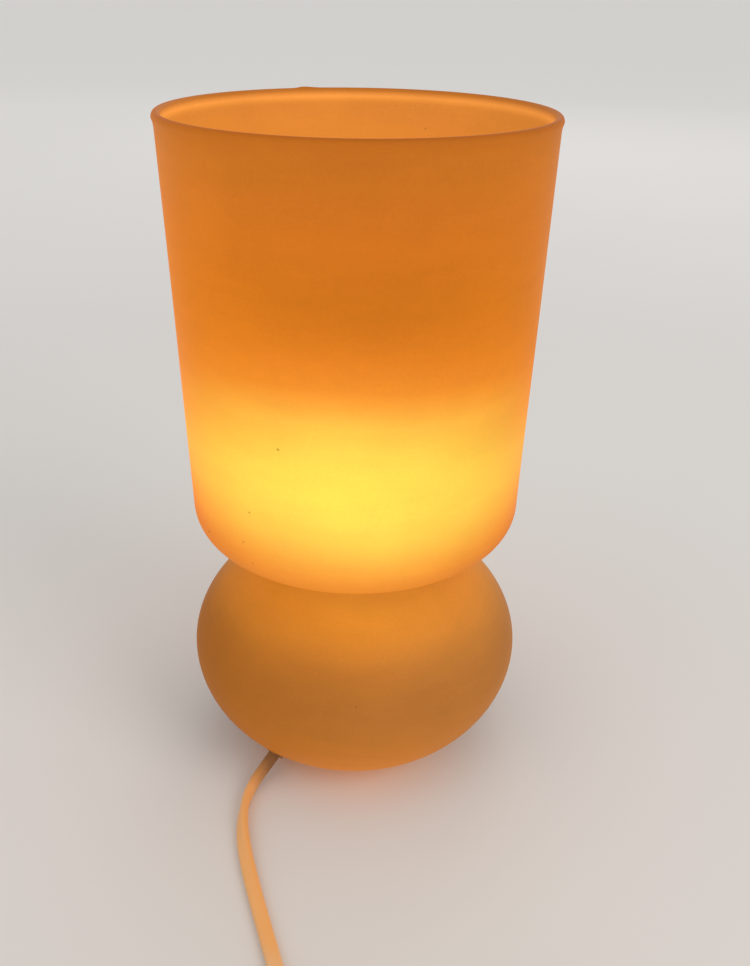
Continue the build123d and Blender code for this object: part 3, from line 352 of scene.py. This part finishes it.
# The glow's levels tilt a little to one side and drift, except near the lip
glow_tilt = 1.2 * MM
glow_drift = 0.005
drift_scale = 14.0
drift_stretch = (1.0, 1.0, 0.55)
lip_steady_from = 225.0 * MM
lip_steady_to = 239.0 * MM

# Clouds, level streaks and fine grain in the glass, and how far each shades it
cloud_scale = 38.0
cloud_stretch = (1.0, 1.0, 0.7)
cloud_shade = (0.965, 1.035)
streak_scale = 34.0
streak_stretch = (1.0, 1.0, 5.0)
streak_shade = (0.970, 1.030)
fine_scale = 900.0
fine_shade = (0.980, 1.020)
fine_bump_share = 0.08
glass_bump = 0.10
glass_bump_size = 0.4 * MM
glass_roughness = (0.46, 0.56)
glass_specular = 0.06

# Seeds, the rare tiny bubbles of blown glass: cells in a metre, the share of cells that have one,
# its size in its cell, and its shade
seed_scale = 95.0
seed_share = 0.045
seed_inner = 0.018
seed_outer = 0.030
seed_shade = 0.55

# How much brighter the glass is at its right than at its front, by height, in red, green and
# blue: painted light, the base lighter at its right, the cup and its inside lighter at their left.
# A colour ramp holds no value below 0, so it stores the lean round lean_middle.
outer_painted_side_light = [
    (0.000, (0.11, 0.18, 0.50)),
    (0.056, (0.11, 0.18, 0.50)),
    (0.068, (0.03, 0.08, 0.35)),
    (0.085, (0.02, 0.02, 0.05)),
    (0.100, (-0.08, -0.08, -0.08)),
]
inner_painted_side_light = [(0.000, (-0.03, -0.03, -0.03)), (0.245, (-0.03, -0.03, -0.03))]
lean_middle = 0.5

# Small dark specks in the glass: place and radius in millimetres, and how dark each is. A speck
# is darkest up to speck_inner of its radius.
specks = [
    ((-52.1, -32.8, 106.2), 0.65, 0.60),
    ((-35.4, -51.0, 124.0), 0.60, 0.50),
    ((-24.6, -57.8, 150.4), 0.65, 0.50),
    ((-38.2, -48.5, 111.2), 0.70, 0.30),
    ((-35.2, -50.2, 103.7), 0.60, 0.30),
    ((25.5, 56.6, 231.5), 0.60, 0.30),
]
speck_inner = 0.3


def by_height(levels):
    """Stops of a colour ramp, whose places are shares of the glass's height."""
    return [(level / glass_height, colour) for level, colour in levels]


def uneven_glass(nodes):
    """The glass's clouds and fine grain, and the shade that its unevenness and marks give."""
    cloud = nodes.noise(cloud_scale, detail=5.0, roughness=0.6, stretch=cloud_stretch)
    streaks = nodes.noise(streak_scale, detail=5.0, roughness=0.65, stretch=streak_stretch)
    fine = nodes.noise(fine_scale, detail=fine_detail)
    shade = nodes.spread(cloud, *cloud_shade)
    shade = nodes.maths("MULTIPLY", shade, nodes.spread(streaks, *streak_shade))
    shade = nodes.maths("MULTIPLY", shade, nodes.spread(fine, *fine_shade))
    for spot, radius, darkness in specks:
        near = nodes.distance(Vector(spot) * MM)
        mark = nodes.span(near, speck_inner * radius * MM, radius * MM, 1.0 - darkness, 1.0)
        shade = nodes.maths("MULTIPLY", shade, mark)
    cells = nodes.add(
        "ShaderNodeTexVoronoi", {"Vector": nodes.coords, "Scale": seed_scale, "Randomness": 1.0}
    )
    seed = nodes.span(cells.outputs["Distance"], seed_inner, seed_outer, seed_shade, 1.0)
    chance = nodes.add("ShaderNodeSeparateColor", {"Color": cells.outputs["Color"]}).outputs[0]
    bare = nodes.maths("GREATER_THAN", chance, seed_share)
    shade = nodes.maths("MULTIPLY", shade, nodes.maths("MAXIMUM", seed, bare))
    return cloud, fine, shade


def glass_material(name, front, sides, lean):
    """Satin opal glass lit from inside: the glow goes by the height, with painted shade at its
    sides and painted light at one side.
    """
    nodes = Nodes(name)
    across = nodes.across()
    side = nodes.maths("MULTIPLY", across, across)
    height = nodes.height()
    loose = nodes.span(height, lip_steady_from, lip_steady_to, 1.0, 0.0)
    tilt = nodes.maths("MULTIPLY", nodes.maths("MULTIPLY", across, glow_tilt), loose)
    along = nodes.span(nodes.maths("ADD", height, tilt), 0.0, glass_height, 0.0, 1.0)
    waves = nodes.noise(drift_scale, detail=3.0, stretch=drift_stretch)
    drift = nodes.maths("MULTIPLY", nodes.spread(waves, -glow_drift, glow_drift), loose)
    place = nodes.maths("ADD", along, drift)
    # Front and side ramps mixed round the lamp, so the sides get painted shade
    colour = nodes.mix(
        side, nodes.ramp(place, by_height(front)), nodes.ramp(place, by_height(sides))
    )
    # Painted side light: the colour scaled up at one side and down at the other, by the lean
    stored = [(level, [share + lean_middle for share in shares]) for level, shares in lean]
    gain = nodes.ramp(along, by_height(stored))
    painted_side_light = nodes.scale(nodes.vectors("SUBTRACT", gain, (lean_middle,) * 3), across)
    colour = nodes.vectors("MULTIPLY", colour, nodes.vectors("ADD", painted_side_light, (1.0, 1.0, 1.0)))
    cloud, fine, shade = uneven_glass(nodes)
    shaded = nodes.scale(colour, shade)
    # Base colour: the glow's colours painted in, painted light rather than the glass's own white
    nodes.link(nodes.scale(shaded, glow_painted_base_share), "Base Color")
    nodes.link(shaded, "Emission Color")
    nodes.link(nodes.spread(cloud, *glass_roughness), "Roughness")
    surface = nodes.maths("ADD", cloud, nodes.maths("MULTIPLY", fine, fine_bump_share))
    nodes.bump(surface, glass_bump, glass_bump_size)
    nodes.set(Emission_Strength=glow_share, Specular_IOR_Level=glass_specular)
    return nodes.material


# Meshes


def link_mesh(name, points, faces, materials, slots=None):
    """A smooth-shaded mesh object; slots gives the material of each face."""
    mesh = bpy.data.meshes.new(name)
    mesh.from_pydata([tuple(point) for point in points], [], faces)
    for material in materials:
        mesh.materials.append(material)
    mesh.polygons.foreach_set("use_smooth", [True] * len(mesh.polygons))
    if slots is not None:
        mesh.polygons.foreach_set("material_index", slots)
    mesh.update()
    piece = bpy.data.objects.new(name, mesh)
    bpy.context.scene.collection.objects.link(piece)
    return piece


def ellipse(middle, across, up, start, end, steps):
    """Points of an elliptic arc in the plane of radius and height."""
    return [
        (
            middle[0] + across * math.cos(start + (end - start) * step / steps),
            middle[1] + up * math.sin(start + (end - start) * step / steps),
        )
        for step in range(steps + 1)
    ]


def soften(points, corner, reach):
    """Rounds a corner of an outline by a curve that starts and ends at reach from it."""
    spots = [Vector(point) for point in points]
    middle = Vector(corner)
    inside = [index for index, spot in enumerate(spots) if (spot - middle).length < reach]
    first = inside[0] - 1
    last = inside[-1] + 1
    start = middle + (spots[first] - middle).normalized() * reach
    end = middle + (spots[last] - middle).normalized() * reach
    curve = []
    for step in range(round_steps + 1):
        share = step / round_steps
        spot = start.lerp(middle, share).lerp(middle.lerp(end, share), share)
        curve.append(tuple(spot))
    return points[:first + 1] + curve + points[last:]


def glass_side(inset):
    """Outline of the outside or inside of the glass, from the foot up to the lip."""
    lean = math.atan((rim_radius - cup_low_radius) / (glass_height - cup_low_height))
    corner_middle = (
        cup_low_radius - corner_radius * math.cos(lean),
        cup_low_height + corner_radius * math.sin(lean),
    )
    reach = floor_curve_radius - corner_radius
    floor_middle = (
        corner_middle[0] - reach * math.cos(corner_turn),
        corner_middle[1] + reach * math.sin(corner_turn),
    )
    floor_height = floor_middle[1] - floor_curve_radius + inset

    # The base, from the foot to the neck
    across = base_radius - inset
    foot_radius = base_radius * math.sqrt(1 - (base_middle_height / base_lower_half) ** 2)
    start_radius = foot_opening_radius if inset else foot_radius
    neck = neck_radius - inset
    low = -math.acos(start_radius / across)
    high = math.acos(neck / across)
    middle = (0.0, base_middle_height)
    points = ellipse(middle, across, base_lower_half - inset, low, 0.0, base_lower_steps)
    upper = ellipse(middle, across, base_upper_half - inset, 0.0, high, base_upper_steps)
    points += upper[1:]

    # The neck and the middle of the cup's floor
    neck_low = upper[-1]
    rise = floor_height - neck_low[1]
    points += [
        (neck, neck_low[1] + rise * step / neck_steps) for step in range(1, neck_steps + 1)
    ]
    run = floor_middle[0] - neck
    points += [(neck + run * step / floor_steps, floor_height) for step in range(1, floor_steps)]
    points = soften(points, neck_low, neck_round)
    points = soften(points, (neck, floor_height), neck_round)

    # The floor's curve and the cup's lower corner
    bend = floor_curve_radius - inset
    floor_end = -math.pi / 2 + (math.pi / 2 - corner_turn)
    points += ellipse(floor_middle, bend, bend, -math.pi / 2, floor_end, floor_curve_steps)
    bend = corner_radius - inset
    corner = ellipse(corner_middle, bend, bend, -corner_turn, -lean, corner_steps)
    points += corner[1:]

    # The wall, which gets thinner inside near the lip
    start = corner[-1]
    top = glass_height - (lip_round_height if inset else lip_flare_height)
    rise = (top - start[1]) / wall_steps
    for step in range(1, wall_steps + 1):
        height = start[1] + step * rise
        near_lip = max(0.0, 1 - (top - height) / lip_taper_height) if inset else 0.0
        taper = lip_taper * near_lip ** 2
        points.append((start[0] + step * rise * math.tan(lean) + taper, height))
    return points


def lathe_ring(outline, segments, shape):
    """Points and faces of a closed outline turned round the Z axis; shape moves each point."""
    count = len(outline)
    points = []
    for segment in range(segments):
        angle = 2 * math.pi * segment / segments
        for radius, height in outline:
            new_radius, new_height = shape(radius, height, angle)
            points.append((new_radius * math.cos(angle), new_radius * math.sin(angle), new_height))
    faces = []
    for segment in range(segments):
        here, there = segment * count, (segment + 1) % segments * count
        for index in range(count):
            after = (index + 1) % count
            faces.append((here + index, there + index, there + after, here + after))
    return points, faces


def blown(radius, height, angle):
    """The slight unevenness of blown glass, and the bump of its lip."""
    waver = blown_waver * sum(
        share * math.sin(count * angle + turn * height + start)
        for share, count, turn, start in blown_waves
    )
    grow = min(1.0, height / blown_full_height)
    lift = 0.0
    near_lip = (height - (glass_height - lip_round_height)) / lip_round_height
    if near_lip > 0:
        away = (angle - lip_bump_angle) * rim_radius
        width = lip_bump_left if away > 0 else lip_bump_right
        lift = lip_bump_height * near_lip * math.exp(-((away / width) ** 2))
        waver *= 1 - near_lip
    return radius + waver * grow - blown_waver * grow, height + lift


def make_glass(outside, inside):
    """The blown glass body, with its thick wall, ground foot and the hole for the cord."""
    outer = glass_side(0.0)
    inner = glass_side(glass_wall)
    lip_outside = (rim_radius + lip_flare, glass_height - lip_round_height)
    flare_start = Vector(outer[-1])
    flare = []
    for step in range(1, flare_steps + 1):
        share = step / flare_steps
        flare.append((
            flare_start.x + (lip_outside[0] - flare_start.x) * share ** flare_curve,
            flare_start.y + (lip_outside[1] - flare_start.y) * share,
        ))
    lip_inside = Vector(inner[-1])
    half_width = (lip_outside[0] - lip_inside.x) / 2
    lip = ellipse(
        (lip_inside.x + half_width, lip_outside[1]), half_width, lip_round_height - lip_gap,
        0.0, math.pi, lip_steps,
    )
    foot_round = foot_edge * foot_inner_share
    foot = [
        (foot_opening_radius, foot_edge),
        (foot_opening_radius + foot_round, foot_round),
        (foot_opening_radius + foot_edge, 0.0),
        (outer[0][0] - foot_edge, 0.0),
    ]
    outer[0] = (outer[0][0] + foot_edge * foot_outer_out, foot_edge * foot_outer_up)
    outline = outer + flare + lip[1:-1] + inner[::-1] + foot
    points, faces = lathe_ring(outline, glass_segments, blown)
    inner_start = len(outer) + len(flare) + len(lip) // 2
    inner_end = len(outline) - len(foot)
    slots = [
        1 if inner_start <= index < inner_end else 0
        for _ in range(glass_segments) for index in range(len(outline))
    ]
    glass = link_mesh("glass", points, faces, [outside, inside], slots)
    cut_cord_hole(glass)
    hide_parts("glass_body")
    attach(glass, "lamp")


def cut_cord_hole(glass):
    """Drills the hole for the cord through the lower wall of the base."""
    exit_radius = base_radius * math.sqrt(
        1 - ((base_middle_height - exit_height) / base_lower_half) ** 2
    )
    heading = Vector((
        math.cos(exit_azimuth) * math.cos(exit_dip),
        math.sin(exit_azimuth) * math.cos(exit_dip),
        -math.sin(exit_dip),
    ))
    place = Vector((
        exit_radius * math.cos(exit_azimuth), exit_radius * math.sin(exit_azimuth), exit_height,
    ))
    turn = heading.to_track_quat("Z", "Y").to_matrix().to_4x4()
    sides = cord_hole_sides
    points = []
    for end in (-cord_hole_half_length, cord_hole_half_length):
        for side in range(sides):
            angle = 2 * math.pi * side / sides
            points.append(Vector((
                cord_hole_radius * math.cos(angle), cord_hole_radius * math.sin(angle), end,
            )))
    faces = [
        (side, (side + 1) % sides, sides + (side + 1) % sides, sides + side)
        for side in range(sides)
    ]
    faces += [tuple(range(sides))[::-1], tuple(range(sides, 2 * sides))]
    drill = link_mesh("drill", points, faces, [])
    drill.data.transform(Matrix.Translation(place) @ turn)
    cut = glass.modifiers.new("cord_hole", "BOOLEAN")
    cut.operation = "DIFFERENCE"
    cut.solver = "EXACT"
    cut.object = drill
    graph = bpy.context.evaluated_depsgraph_get()
    mesh = bpy.data.meshes.new_from_object(glass.evaluated_get(graph))
    glass.modifiers.clear()
    old = glass.data
    glass.data = mesh
    bpy.data.meshes.remove(old)
    bpy.data.objects.remove(drill)
    mesh.set_sharp_from_angle(angle=glass_crease)


# Cords: their section, and how finely their meshes are divided
cord_width = 5.2 * MM
cord_thickness = 3.2 * MM
cord_waist = 0.12 * MM
cord_sides = 10
cord_crease = math.radians(60.0)
lead_steps = 14
main_steps = 4

# Routes: points in millimetres, each with how far the flat cord stands on its edge there
lead_route = [
    ((-31.5, -37.6, 7.8), 1.20),
    ((-34.4, -41.2, 5.3), 1.20),
    ((-38.4, -47.6, 3.3), 1.15),
    ((-41.0, -56.0, 2.6), 1.05),
    ((-41.7, -67.0, 2.5), 0.70),
    ((-39.7, -80.0, 2.2), 0.38),
    ((-35.5, -95.0, 1.8), 0.12),
    ((-30.4, -111.0, 1.6), 0.0),
    ((-25.2, -127.0, 1.7), 0.0),
    ((-22.0, -137.0, 2.8), 0.0),
    ((-21.0, -145.8, 4.4), 0.0),
    ((-21.0, -151.0, 4.4), 0.0),
]
main_route = [
    ((-21.0, -211.0, 4.4), 0.0),
    ((-21.0, -216.2, 4.4), 0.0),
    ((-23.4, -227.0, 2.9), 0.5),
    ((-28.0, -237.5, 2.6), 1.0),
    ((-30.0, -247.6, 2.6), 1.0),
    ((-30.0, -252.8, 2.6), 1.0),
]
tail_route = [
    ((50.0, -247.6, 8.3), 1.0),
    ((52.3, -237.6, 7.8), 0.7),
    ((59.7, -228.2, 7.1), 0.3),
    ((62.0, -218.2, 6.85), 0.0),
    ((62.0, -213.0, 6.85), 0.0),
]

# The coil, in millimetres
coil_radius = 40.0
coil_pitch = 5.7
coil_rise = 5.7
coil_half_turns = 6
coil_left_x = -30.0
coil_middle_y = -258.0
coil_points_per_half_turn = 8


def coil_route():
    """The coil's points: half turns that wind in on the table, climb, and wind out on top."""
    radii = [coil_radius - coil_pitch / 2 * turn for turn in range(coil_half_turns + 1)]
    radii += radii[-2::-1]
    low = cord_width / 2 / MM
    points = [((coil_left_x, coil_middle_y, low), 1.0)]
    left = coil_left_x
    for turn, radius in enumerate(radii):
        side = 1 if turn % 2 == 0 else -1
        middle = left + side * radius
        for step in range(1, coil_points_per_half_turn + 1):
            share = step / coil_points_per_half_turn
            angle = math.pi * share
            rise = 0.0 if turn < coil_half_turns else coil_rise
            if turn == coil_half_turns:
                rise = coil_rise * (1 - math.cos(angle)) / 2
            points.append((
                (
                    middle - side * radius * math.cos(angle),
                    coil_middle_y - side * radius * math.sin(angle),
                    low + rise,
                ),
                1.0,
            ))
        left += side * 2 * radius
    return points


def spline_points(points, steps):
    """Points of the smooth NURBS line that has these control points."""
    curve = bpy.data.curves.new("route", "CURVE")
    curve.dimensions = "3D"
    spline = curve.splines.new("NURBS")
    spline.points.add(len(points) - 1)
    for point, place in zip(spline.points, points):
        point.co = (*place, 1.0)
    spline.order_u = 3
    spline.use_endpoint_u = True
    spline.resolution_u = steps
    carrier = bpy.data.objects.new("route", curve)
    bpy.context.scene.collection.objects.link(carrier)
    graph = bpy.context.evaluated_depsgraph_get()
    mesh = bpy.data.meshes.new_from_object(carrier.evaluated_get(graph))
    spots = [vertex.co.copy() for vertex in mesh.vertices]
    bpy.data.meshes.remove(mesh)
    bpy.data.objects.remove(carrier)
    bpy.data.curves.remove(curve)
    return spots


def flat_section():
    """Outline of the flat twin cord: two half rounds, drawn in a little between its cores."""
    core = (cord_width - cord_thickness) / 2
    radius = cord_thickness / 2
    outline = []
    for end in (1, -1):
        for side in range(cord_sides + 1):
            angle = -math.pi / 2 + math.pi * side / cord_sides
            across = end * (core + radius * math.cos(angle))
            outline.append((across, end * radius * math.sin(angle)))
        edge = outline[-1][1]
        outline.append((0.0, edge - math.copysign(cord_waist, edge)))
    return outline


def flat_cord(name, route, steps, material):
    """A flat twin cord along a route, rolled from flat to its edge as the route says."""
    path = spline_points([Vector(place) * MM for place, edge in route], steps)
    edge_path = spline_points([Vector((edge, 0.0, 0.0)) for place, edge in route], steps)
    outline = flat_section()
    count = len(outline)
    points = []
    for index, spot in enumerate(path):
        before = path[max(index - 1, 0)]
        after = path[min(index + 1, len(path) - 1)]
        along = (after - before).normalized()
        level = Vector((0, 0, 1)).cross(along).normalized()
        up = along.cross(level)
        roll = edge_path[index].x * math.pi / 2
        wide = level * math.cos(roll) + up * math.sin(roll)
        thin = along.cross(wide)
        points += [spot + wide * a + thin * b for a, b in outline]
    faces = []
    for ring in range(len(path) - 1):
        for side in range(count):
            after = (side + 1) % count
            here, there = ring * count, (ring + 1) * count
            faces.append((here + side, here + after, there + after, there + side))
    faces.append(tuple(range(count))[::-1])
    faces.append(tuple(range((len(path) - 1) * count, len(path) * count)))
    piece = link_mesh(name, points, faces, [material])
    piece.data.set_sharp_from_angle(angle=cord_crease)
    return piece, path


def make_cords(material):
    """The lead from the lamp to the switch, and the main cord from there through the coil."""
    lead, lead_path = flat_cord("lead", lead_route, lead_steps, material)
    main, main_path = flat_cord(
        "mains_cord", main_route + coil_route() + tail_route, main_steps, material
    )
    for piece in (lead, main):
        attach(piece, "lamp")
    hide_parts("cord_lead")
    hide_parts("cord_main", "cord_coil", "cord_tail")


# Finishes of the frame's own nodes, by the record's material slot. Each pair of colours is the
# darkest and lightest that its patches have.
bulb_light = [(1.0, 0.80, 0.42, 1.0), (1.0, 0.86, 0.50, 1.0)]
bulb_colour = [(0.9, 0.74, 0.45, 1.0), (0.92, 0.78, 0.50, 1.0)]
bulb_glow = 1.6
bulb_patch_scale = 120.0
wire_light = [(1.0, 0.7, 0.3, 1.0), (1.0, 0.85, 0.5, 1.0)]
wire_colour = (0.6, 0.4, 0.2, 1.0)
wire_glow = 3.0
wire_patch_scale = 900.0
stem_colour = (0.93, 0.96, 0.95, 1.0)
stem_roughness = (0.03, 0.08)
stem_patch_scale = 200.0

# The cord's colour, by how far it is from the lamp's middle: painted shadow under the base,
# then the lamp's painted warm light, then its own cream
cord_lamp_lit = [(0.90, 0.43, 0.135, 1.0), (0.96, 0.48, 0.165, 1.0)]
cord_cream = [(0.80, 0.66, 0.47, 1.0), (0.85, 0.71, 0.52, 1.0)]
cord_shadow_darkest = 0.35
cord_shade_from = 54.0 * MM
cord_shade_to = 67.0 * MM
cord_lamp_lit_to = 124.0 * MM
cord_cream_from = 160.0 * MM
cord_patch_scale = 60.0
cord_patch_bump = 2.0
cord_grain_scale = 1400.0
cord_bump = 0.12
cord_bump_size = 0.12 * MM
cord_roughness = (0.34, 0.46)


def lit_bulb():
    nodes = Nodes("bulb_glass_lit")
    cloud = nodes.noise(bulb_patch_scale)
    nodes.link(nodes.mix(cloud, *bulb_light), "Emission Color")
    nodes.link(nodes.mix(cloud, *bulb_colour), "Base Color")
    nodes.set(Emission_Strength=bulb_glow, Roughness=0.35)
    return nodes.material


def glowing_wire():
    nodes = Nodes("filament_lit")
    nodes.link(nodes.mix(nodes.noise(wire_patch_scale), *wire_light), "Emission Color")
    nodes.set(Emission_Strength=wire_glow, Roughness=0.5, Base_Color=wire_colour)
    return nodes.material


def clear_glass():
    nodes = Nodes("stem_glass")
    nodes.link(nodes.spread(nodes.noise(stem_patch_scale), *stem_roughness), "Roughness")
    nodes.set(Base_Color=stem_colour, Transmission_Weight=0.9, IOR=1.5)
    return nodes.material


def cord_material():
    """Vinyl cord: painted shadow under the lamp, the lamp's painted warm light near it, cream
    beyond.
    """
    nodes = Nodes("cord_vinyl")
    patches = nodes.noise(cord_patch_scale, detail=6.0, roughness=0.6)
    away = nodes.distance((0.0, 0.0, 0.0))
    # The lamp's warm light, painted on the cord near it
    lamp_lit = nodes.mix(patches, *cord_lamp_lit)
    cream = nodes.mix(patches, *cord_cream)
    lit = nodes.mix(nodes.span(away, cord_lamp_lit_to, cord_cream_from, 0.0, 1.0), lamp_lit, cream)
    # Painted shadow of the base on the cord where it comes out
    shade = nodes.span(away, cord_shade_from, cord_shade_to, cord_shadow_darkest, 1.0)
    nodes.link(nodes.scale(lit, shade), "Base Color")
    fine = nodes.noise(cord_grain_scale, detail=fine_detail)
    nodes.link(nodes.spread(fine, *cord_roughness), "Roughness")
    surface = nodes.maths("ADD", fine, nodes.maths("MULTIPLY", patches, cord_patch_bump))
    nodes.bump(surface, cord_bump, cord_bump_size)
    nodes.set(Specular_IOR_Level=0.4)
    return nodes.material


def finishes():
    """One material for each slot of the record that a frame node uses."""
    return {
        "rubber_white": tinted("gasket_rubber", (0.62, 0.56, 0.45), 0.75, scale=400.0),
        "plate_white": tinted("white_paint", (0.80, 0.74, 0.62), 0.38, speckle=0.03, scale=150.0),
        "holder_white": tinted("holder_plastic", (0.82, 0.76, 0.64), 0.34, speckle=0.03),
        "insert": tinted("glazed_insert", (0.80, 0.76, 0.66), 0.2, speckle=0.04),
        "brass": tinted("brass", (0.78, 0.58, 0.28), 0.3, metallic=1.0, speckle=0.1),
        "steel": tinted("zinc_steel", (0.56, 0.56, 0.57), 0.35, metallic=1.0, speckle=0.1),
        "cap_metal": tinted("cap_nickel", (0.66, 0.62, 0.54), 0.28, metallic=1.0, speckle=0.08),
        "cap_glass": tinted("cap_black_glass", (0.02, 0.02, 0.025), 0.12),
        "solder": tinted("solder", (0.55, 0.55, 0.56), 0.4, metallic=1.0, speckle=0.12),
        "wire": tinted("wire_vinyl", (0.09, 0.16, 0.36), 0.4),
        # The grommet's orange is the lamp's warm light painted into its colour
        "grommet": tinted("grommet_rubber", (0.52, 0.22, 0.05), 0.5),
        "switch_plastic": tinted("switch_plastic", (0.80, 0.68, 0.50), 0.32, speckle=0.03),
        "rocker_plastic": tinted("rocker_plastic", (0.82, 0.71, 0.54), 0.26, speckle=0.03),
        "plug_plastic": tinted("plug_vinyl", (0.80, 0.66, 0.47), 0.42, speckle=0.04),
        "pin_metal": tinted("pin_nickel", (0.70, 0.67, 0.60), 0.22, metallic=1.0, speckle=0.06),
        "sleeve_plastic": tinted("pin_sleeve", (0.04, 0.04, 0.045), 0.4),
        "opal": lit_bulb(),
        "clear_glass": clear_glass(),
        "filament": glowing_wire(),
        "cord": cord_material(),
    }


def dress_frame(materials):
    """Gives each frame node the finish of its material slot. The glass body is replaced."""
    for subpart in frame["record"]["subparts"]:
        slot = subpart["material_slot"]
        if slot in materials:
            piece = frame["nodes"][subpart["node"]]
            for place in piece.material_slots:
                place.material = materials[slot]


# Stage: pale floor, soft lights, even surroundings
floor_half = 20.0
floor_pale = [(0.74, 0.73, 0.71, 1.0), (0.78, 0.77, 0.75, 1.0)]
floor_far = (0.93, 0.92, 0.90, 1.0)
floor_near_to = 0.5
floor_far_from = 2.2
floor_patch_scale = 3.0
lights_aim = (0.0, 0.0, 0.1)

# Each light's name, place, width, power and colour
lights = [
    ("key", (1.3, -1.1, 1.3), 1.2, 10.0, (1.0, 0.98, 0.95)),
    ("fill", (-1.3, -0.9, 1.5), 1.4, 2.0, (0.97, 0.98, 1.0)),
    ("back", (0.3, 1.6, 1.2), 1.2, 3.0, (1.0, 0.98, 0.96)),
]

# The surroundings: the light that they give, and how they look by themselves
world_light = (0.86, 0.85, 0.84, 1.0)
world_seen = (0.82, 0.812, 0.80, 1.0)
world_strength = 0.80


def floor_material():
    nodes = Nodes("pale_floor")
    pale = nodes.mix(nodes.noise(floor_patch_scale, detail=6.0), *floor_pale)
    away = nodes.add("ShaderNodeVectorMath", {0: nodes.coords}, operation="LENGTH").outputs["Value"]
    far = nodes.span(away, floor_near_to, floor_far_from, 0.0, 1.0)
    nodes.link(nodes.mix(far, pale, floor_far), "Base Color")
    nodes.set(Roughness=0.8, Specular_IOR_Level=0.2)
    return nodes.material


def make_floor():
    half = floor_half
    floor = link_mesh(
        "floor",
        [(-half, -half, 0.0), (half, -half, 0.0), (half, half, 0.0), (-half, half, 0.0)],
        [(0, 1, 2, 3)],
        [floor_material()],
    )


def make_lights():
    for name, place, size, power, colour in lights:
        data = bpy.data.lights.new(name, "AREA")
        data.shape = "DISK"
        data.size = size
        data.energy = power
        data.color = colour
        light = bpy.data.objects.new(name, data)
        bpy.context.scene.collection.objects.link(light)
        light.location = place
        light.rotation_mode = "QUATERNION"
        heading = Vector(lights_aim) - Vector(place)
        light.rotation_quaternion = heading.to_track_quat("-Z", "Y")


def make_world():
    """Even light from all round, with its own colour where the camera, gloss or glass shows it."""
    world = bpy.data.worlds.new("world")
    world.use_nodes = True
    tree = world.node_tree
    colour = tree.nodes.new("ShaderNodeMix")
    colour.data_type = "RGBA"
    colour.inputs[mix_first].default_value = world_light
    colour.inputs[mix_second].default_value = world_seen
    rays = tree.nodes.new("ShaderNodeLightPath").outputs
    seen = rays["Is Camera Ray"]
    for kind in ("Is Glossy Ray", "Is Transmission Ray"):
        either = tree.nodes.new("ShaderNodeMath")
        either.operation = "MAXIMUM"
        tree.links.new(seen, either.inputs[0])
        tree.links.new(rays[kind], either.inputs[1])
        seen = either.outputs[0]
    background = tree.nodes["Background"]
    tree.links.new(seen, colour.inputs[mix_amount])
    tree.links.new(colour.outputs[mix_result], background.inputs["Color"])
    background.inputs["Strength"].default_value = world_strength
    bpy.context.scene.world = world


make_camera()
made = finishes()
make_cords(made["cord"])
make_glass(
    glass_material("glass_outside", front_glow, side_glow_painted_shade, outer_painted_side_light),
    glass_material("glass_inside", inside_glow, inside_side_glow_painted_shade, inner_painted_side_light),
)
dress_frame(made)
make_floor()
make_lights()
make_world()
bpy.context.scene.view_settings.view_transform = "Standard"
